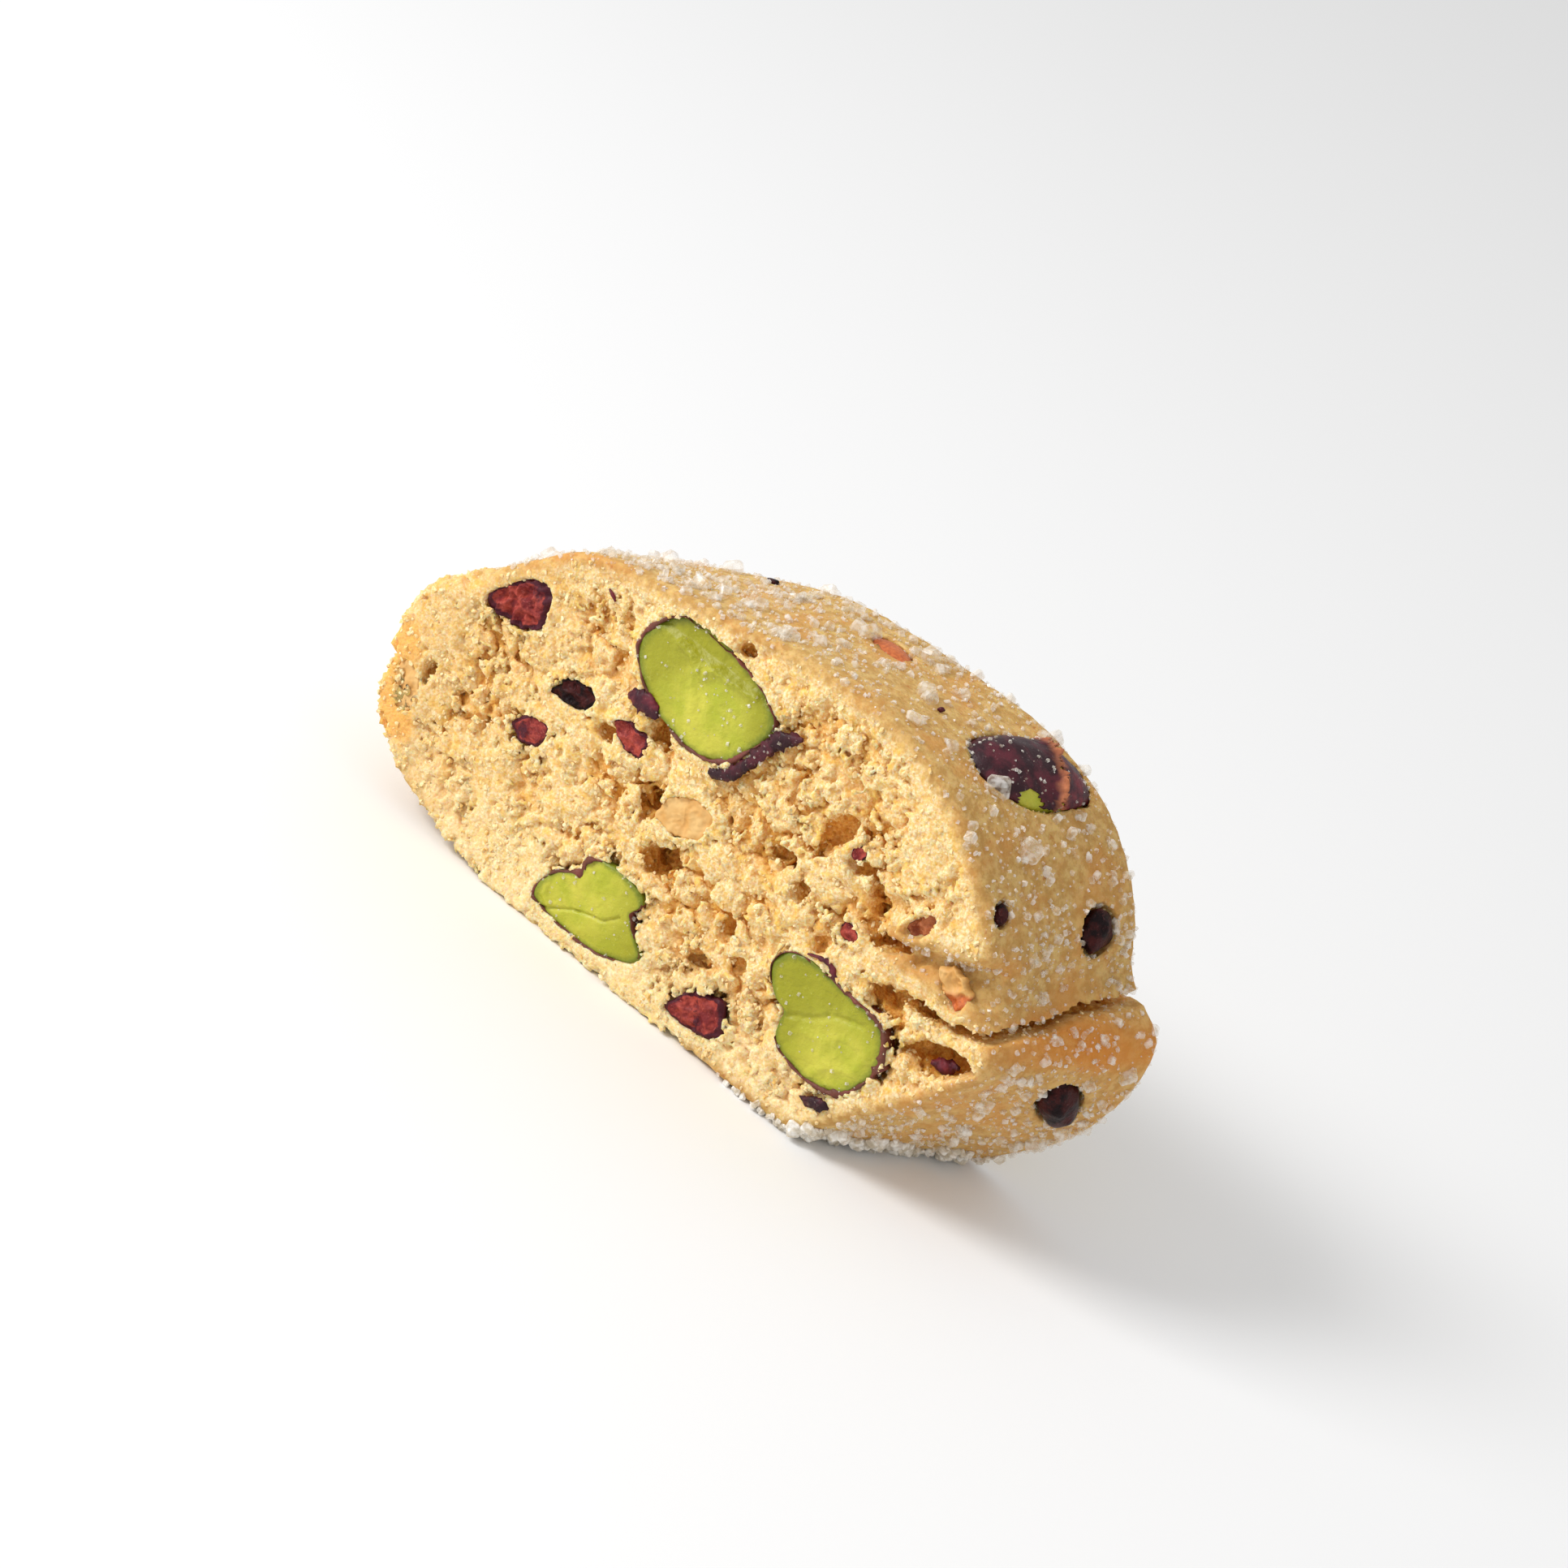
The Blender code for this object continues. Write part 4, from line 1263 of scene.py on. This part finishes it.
# %% The tree of creased lumps
def crease_tree():
    b, ask = shape_bench("crease", {
        "Steps": 3, "Fold size": 1.4, "Fold depth": 0.25, "Stand": 0.35, "Seed": 1.0, "Tone": 0.0,
        "Crust guide": "Object",
    })
    shape = b.add("GeometryNodeSubdivisionSurface", {}, {"Mesh": ask["Shape"], "Level": ask["Steps"]})
    place = b.add("GeometryNodeInputPosition")
    normal = b.add("GeometryNodeInputNormal")
    folds = b.add(
        "ShaderNodeTexNoise", {"noise_dimensions": "4D", "noise_type": "RIDGED_MULTIFRACTAL"}, {
            "Vector": b.vector("SCALE", place, Scale=1.0 / MM), "W": ask["Seed"],
            "Scale": 1.0 / ask["Fold size"], "Detail": 3.0,
        },
    )
    push = b.vector("SCALE", normal, Scale=(folds - 0.7) * ask["Fold depth"] * MM)
    shape = b.add("GeometryNodeSetPosition", {}, {"Geometry": shape, "Offset": push})
    guide = b.add("GeometryNodeObjectInfo", {}, {"Object": ask["Crust guide"]}, out="Geometry")
    near = b.add("GeometryNodeProximity", {}, {"Target": guide}, out="Position")
    over = signed_distance(b, ask["Crust guide"])
    outward = b.vector("NORMALIZE", b.vector("SUBTRACT", place, near))
    too_far = (over - ask["Stand"]).at_least(0.0) * -0.8 * MM
    press = b.vector("SCALE", outward, Scale=too_far)
    shape = b.add("GeometryNodeSetPosition", {}, {"Geometry": shape, "Offset": press})
    shape = kept_on(b, shape, rim=over.rise(-0.9, 0.1, 1.0, 0.0), tone=ask["Tone"])
    finish_shape(b, shape, ask["Finish"])
    return b.tree


crease_shape = crease_tree()

# %% Pieces in the crust
IN_CRUST = {  # node: piece, finish, fold size, fold depth, how far it stands out
    "pistachio_crust": ("kernel_crust", pistachio_green, 3.0, 0.15, 1.4),
    "cranberry_shoulder": ("berry_shoulder", berry_dark, 1.6, 0.6, 1.0),
    "cranberry_lobe": ("berry_lobe", berry_dark, 1.8, 0.4, 2.0),
    "cranberry_nick": ("berry_nick", berry_dark, 1.0, 0.4, 0.2),
    "cranberry_ridge": ("berry_ridge", berry_dark, 1.0, 0.3, 0.2),
    "almond_crust": ("almond_top", almond_cream, 2.0, 0.2, 0.1),
    "cranberry_far_end": ("berry_far_end", berry_red, 1.6, 0.5, 0.4),
    "cranberry_far_top": ("berry_far_top", berry_dark, 1.4, 0.4, 0.4),
}


def piece_in_crust(node, name, finish, fold, depth, stand):
    base = joined_copy(node + "_base", [nodes[node]], merge=True)
    piece = grow(name, crease_shape, {
        "Fold size": fold, "Fold depth": depth, "Stand": stand, "Seed": len(node) * 1.3,
        "Tone": float(finish is almond_cream), "Crust guide": crust,
    }, finish, base)
    bpy.data.objects.remove(base)
    piece.data.shade_smooth()
    return placed(piece, SLOTS[finish], node)


lumps = {node: piece_in_crust(node, *parts) for node, parts in IN_CRUST.items()}
print(len(lumps), "pieces in the crust")

# %% [markdown]
# ## Torn skin on the kernel in the crust
# The kernel in the crust kept its purple skin, which has cracked across. One part has
# lifted along the crack and shows its pale orange edge, the other is redder and lies close,
# and between them a little green is bare. Each part is a copy of some of the kernel's
# faces, pushed outwards and given a thickness, so that it is a thin closed shell.

# %% Torn skin on the kernel in the crust
LONG_WAY = Vector((0.475, 0.866, -0.155)).normalized()  # the way the kernel lies
TEAR_AT = 1.9  # where the skin has cracked, along the kernel from its middle
BARE_SPOT = Vector((2.9, -3.0, -0.1))  # a place without skin, from the kernel's middle
BARE_REACH = 1.1
SKIN_THICKNESS = 0.2 * MM
SKIN_PARTS = {  # piece: side of the crack, lift at the crack, its finish
    "skin_crust": (-1.0, 0.8, skin_purple),
    "skin_crust_end": (1.0, 0.05, skin_plum),
}


def torn_skin(name, side, lift, finish):
    bm = bmesh.new()
    bm.from_mesh(lumps["pistachio_crust"].data)
    layer = bm.verts.layers.float.get("tone") or bm.verts.layers.float.new("tone")
    bmesh.ops.scale(bm, vec=TO_MM, verts=bm.verts)
    bm.normal_update()
    middle = sum((v.co for v in bm.verts), Vector()) / len(bm.verts)
    along = {}
    for vert in bm.verts:
        spot = vert.co - middle
        ragged = 0.5 * uneven(*spot, 0.9, 3.0) + 0.25 * uneven(*spot, 0.35, 6.0)
        along[vert] = side * (spot.dot(LONG_WAY) - TEAR_AT + ragged)
    gone = [
        v for v in bm.verts
        if along[v] < 0.0 or v.co.z - middle.z < -0.6
        or (v.co - middle - BARE_SPOT).length < BARE_REACH + 0.4 * uneven(*v.co, 0.7)
    ]
    for vert in bm.verts:
        near = max(0.0, 1.0 - along[vert] / 1.6)
        vert[layer] = min(max(0.0, 1.0 - along[vert] / 0.8), 1.0)
        wave = 0.12 * uneven(*vert.co, 1.4, 2.0)
        vert.co += vert.normal * (0.14 + wave + lift * min(near, 1.0) ** 2)
    bmesh.ops.delete(bm, geom=gone, context="VERTS")
    piece = dressed(joined_object(name, bm), finish)
    step = piece.modifiers.new("thick", "SOLIDIFY")
    step.thickness = SKIN_THICKNESS
    step.offset = -1.0
    return placed(piece, "dark_berry")


for name, parts in SKIN_PARTS.items():
    made = torn_skin(name, *parts)
    print(f"{name}: {len(made.data.polygons)} faces")

# %% [markdown]
# ## Sugar and loose crumbs
# The log was rolled in coarse sugar, so clear, angular crystals stand on the crust, thick
# in some places and thin in others. The cut faces carry loose crumbs from the saw. Both
# are small hard grains dropped on the dough, so one tree scatters them: it picks points on
# the dough where a mask allows it, sets one of a few kinds on each at a random turn and
# size, and sinks it a little. Each kind of grain has only a few dozen faces.

# %% Kinds of grains
def kind_collection(name, shapes):
    """A hidden collection with the meshes that a scatter picks from."""
    box = bpy.data.collections.new(name)
    for k, bm in enumerate(shapes):
        mesh = bpy.data.meshes.new(f"{name}_{k}")
        bm.to_mesh(mesh)
        bm.free()
        box.objects.link(bpy.data.objects.new(f"{name}_{k}", mesh))
    return box


def knocked(place):
    """Noise from -1 to 1 along each axis. Unlike noise_vector, it is the same at every run."""
    return Vector([noise.noise(place + Vector((shift, 0.0, -shift))) for shift in (0.0, 11.3, 27.9)])


def crystal(seed):
    """A sugar crystal of about unit size: a box with its edges and corners broken off."""
    bm = bmesh.new()
    bmesh.ops.create_cube(bm, size=1.0)
    bmesh.ops.bevel(bm, geom=bm.edges[:] + bm.verts[:], offset=0.16, segments=1, affect="EDGES")
    stretch = Vector((1.0, 0.75 + 0.1 * seed, 0.6 + 0.12 * ((seed * 2) % 3)))
    for vert in bm.verts:
        shake = 0.12 * knocked(vert.co * 1.7 + Vector((seed * 5.1, 0.0, 0.0)))
        vert.co = (vert.co + shake) * stretch
    return turned_outwards(bm)


def crumb_grain(seed):
    """A crumb of about unit size: a rough ball of twenty facets."""
    bm = bmesh.new()
    bmesh.ops.create_icosphere(bm, subdivisions=1, radius=0.5)
    for vert in bm.verts:
        vert.co *= 1.0 + 0.9 * noise.noise(vert.co * 2.9 + Vector((seed * 3.3, 1.0, 0.0)))
        vert.co.z *= 0.8
    return turned_outwards(bm)


def sugar_dust(seed):
    """A broken bit of crystal of about unit size: a box knocked askew."""
    bm = bmesh.new()
    bmesh.ops.create_cube(bm, size=0.8)
    for vert in bm.verts:
        vert.co += 0.3 * knocked(vert.co * 1.3 + Vector((seed * 4.7, 0.0, 2.0)))
    return turned_outwards(bm)


crystals = kind_collection("crystal", [crystal(k) for k in range(4)])
dust = kind_collection("sugar_dust", [sugar_dust(k) for k in range(5)])
crumbs = kind_collection("crumb_grain", [crumb_grain(k) for k in range(6)])


# %% The tree that scatters grains
FACE_REACH = 8.85  # how far from the middle plane a grain on a cut face may reach
DEEPEST = 2.2  # no grain lies deeper under a cut face
THINNEST = 0.12  # share of the grains in the barest patches


def scatter_tree():
    b, ask = shape_bench("scatter", {
        "Kinds": "Collection", "Per square millimetre": 1.0, "Smallest": 0.3, "Largest": 0.8,
        "Sink": 0.1, "Seed": 1, "Inner from": -1.0, "Inner to": 0.5, "Patch size": 6.0,
        "Patch low": 0.4, "Patch high": 0.6, "Side": 0.0, "Lowest": 0.4, "Highest": 99.0,
        "From left": -99.0, "To right": 99.0,
    })
    inner = b.add("GeometryNodeInputNamedAttribute", {}, {"Name": "inner"})
    pit = b.add("GeometryNodeInputNamedAttribute", {}, {"Name": "pit"})
    place = b.add("GeometryNodeInputPosition")
    in_mm = b.vector("SCALE", place, Scale=1.0 / MM)
    x, y, z = b.along("XYZ", in_mm)
    patch = b.add(
        "ShaderNodeTexNoise", {}, {"Vector": in_mm, "Scale": 1.0 / ask["Patch size"], "Detail": 3.0}
    )
    patch = patch.rise(ask["Patch low"], ask["Patch high"], THINNEST, 1.0)
    allowed = inner.above(ask["Inner from"]) * (1.0 - inner.above(ask["Inner to"]))
    allowed = allowed * (y * ask["Side"]).above(-0.1) * z.above(ask["Lowest"])
    allowed = allowed * (1.0 - pit.above(DEEPEST)) * (1.0 - z.above(ask["Highest"]))
    allowed = allowed * x.above(ask["From left"]) * (1.0 - x.above(ask["To right"]))
    density = ask["Per square millimetre"] * patch * allowed / (MM * MM)
    points = b.add("GeometryNodeDistributePointsOnFaces", {}, {
        "Mesh": ask["Shape"], "Density": density, "Seed": ask["Seed"],
    }, out=None)
    chance = b.add("FunctionNodeRandomValue", {}, {"Seed": ask["Seed"] + 3.0}, out="Value_001")
    size = (ask["Smallest"] + (ask["Largest"] - ask["Smallest"]) * chance * chance) * MM
    turn = b.add("FunctionNodeRandomValue", {"data_type": "FLOAT_VECTOR"}, {
        "Max": (math.tau,) * 3, "Seed": ask["Seed"] + 5.0,
    })
    push = b.vector("SCALE", Wire(b, points.outputs["Normal"]), Scale=size * (0.5 - ask["Sink"]))
    moved = Wire(b, points.outputs["Points"])
    moved = b.add("GeometryNodeSetPosition", {}, {"Geometry": moved, "Offset": push})
    spot = b.along("XYZ", place)
    widest = FACE_REACH * MM - size * 0.6
    within = b.add("ShaderNodeCombineXYZ", {}, {
        "X": spot[0], "Y": spot[1].at_most(widest).at_least(0.0 - widest), "Z": spot[2].at_least(size * 0.5),
    })
    moved = b.add("GeometryNodeSetPosition", {}, {"Geometry": moved, "Position": within})
    kinds = b.add("GeometryNodeCollectionInfo", {}, {
        "Collection": ask["Kinds"], "Separate Children": True, "Reset Children": True,
    })
    grains = b.add("GeometryNodeInstanceOnPoints", {}, {
        "Points": moved, "Instance": kinds, "Pick Instance": True, "Rotation": turn, "Scale": size,
    })
    finish_shape(b, grains, ask["Finish"])
    return b.tree


scatter_shape = scatter_tree()
print("scatter tree has", len(scatter_shape.nodes), "nodes")


# %% Finishes of the grains
def sugar_finish(name, faint, dense):
    """Sugar: its clearest and its densest places, as shares of full cover."""
    finish, b, shader = finish_bench(name, 0.15, shine=0.8)
    cloudy = b.noise(0.7, 2.0, own_place(b))
    tint = blended(b, cloudy.rise(0.35, 0.65), (236, 222, 196), (252, 248, 240))
    b.feed(shader.inputs["Base Color"], tint)
    b.feed(shader.inputs["Roughness"], 0.08 + cloudy * 0.25)
    b.feed(shader.inputs["Alpha"], cloudy.rise(0.3, 0.7, faint, dense))
    return finish


def loose_crumb_finish():
    finish, b, shader = finish_bench("loose_crumb", 0.8, shine=0.3)
    place = own_place(b)
    patchy = b.noise(0.8, 3.0, place, 0.7)
    grain = blended(b, patchy.rise(0.3, 0.7), (236, 190, 106), (248, 230, 184))
    painted(b, shader, grain, 0.6 + patchy * 0.3, b.noise(0.15, 2.0, place), 0.05)
    return finish


sugar_clear = sugar_finish("sugar_clear", 0.14, 0.5)
sugar_heap = sugar_finish("sugar_heap", 0.5, 0.9)
loose_crumb = loose_crumb_finish()

# %% Scatter the grains
NUT_PARTS = ("kernel_", "skin_", "strip_")
cut_nuts = joined_copy("cut_nuts", [o for o in bpy.data.objects if o.name.startswith(NUT_PARTS)])
GRAIN_INPUTS = (
    "Seed", "Per square millimetre", "Smallest", "Largest", "Sink", "Patch size", "Patch low", "Patch high",
    "Inner to",
)
# Piece: finish, kinds, what it lies on, the inputs named above, and any others.
SCATTERS = {
    "crumbs_front": (loose_crumb, crumbs, dough, (11, 2.6, 0.24, 0.6, 0.58, 2.5, 0.4, 0.6, 99.0), {
        "Inner from": 0.9, "Side": -1.0,
    }),
    "crumbs_rear": (loose_crumb, crumbs, dough, (12, 2.6, 0.24, 0.6, 0.58, 2.5, 0.4, 0.6, 99.0), {
        "Inner from": 0.9, "Side": 1.0,
    }),
    "sugar_on_nuts": (sugar_clear, dust, cut_nuts, (15, 1.6, 0.1, 0.34, 0.25, 3.0, 0.4, 0.7, 0.5), {}),
    "sugar_coarse": (sugar_clear, crystals, dough, (13, 1.0, 0.35, 0.95, 0.4, 9.0, 0.42, 0.66, 0.35), {}),
    "sugar_top": (sugar_clear, crystals, dough, (16, 0.5, 0.35, 0.9, 0.3, 4.0, 0.4, 0.6, 0.3), {
        "Lowest": 28.0, "To right": -4.0,
    }),
    "sugar_base": (sugar_heap, crystals, dough, (17, 4.0, 0.45, 1.1, 0.3, 6.0, 0.35, 0.5, 0.6), {
        "Lowest": 0.1, "Highest": 2.4, "From left": 11.0, "To right": 29.0,
    }),
    "sugar_large": (sugar_clear, crystals, dough, (18, 0.04, 1.0, 1.9, 0.35, 6.0, 0.3, 0.6, 0.2), {}),
    "sugar_fine": (sugar_clear, dust, dough, (14, 2.8, 0.14, 0.42, 0.35, 5.0, 0.3, 0.7, 0.8), {}),
}

for name, (finish, kinds, base, numbers, others) in SCATTERS.items():
    inputs = {"Kinds": kinds, **dict(zip(GRAIN_INPUTS, numbers)), **others}
    grains = grow(name, scatter_shape, inputs, finish, base)
    placed(grains, "dough")
    print(f"{name}: {sum(len(p.vertices) - 2 for p in grains.data.polygons)} triangles")

# %% [markdown]
# ## Sizes and the end
# The guides are only there to build with, so they go. The size of the imported model and the
# size of what is seen are printed together, so that one can be laid over the other.

# %% Remove the guides and print the sizes
for guide in (crust, cad_dough, fillings, crevices, cut_nuts):
    bpy.data.objects.remove(guide)
seen_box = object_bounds()
sizes = {"cad": [list(v) for v in cad_box], "visual": [list(v) for v in seen_box]}
for label, (low, high) in sizes.items():
    print(label, [round((b - a) / MM, 2) for a, b in zip(low, high)], "mm")
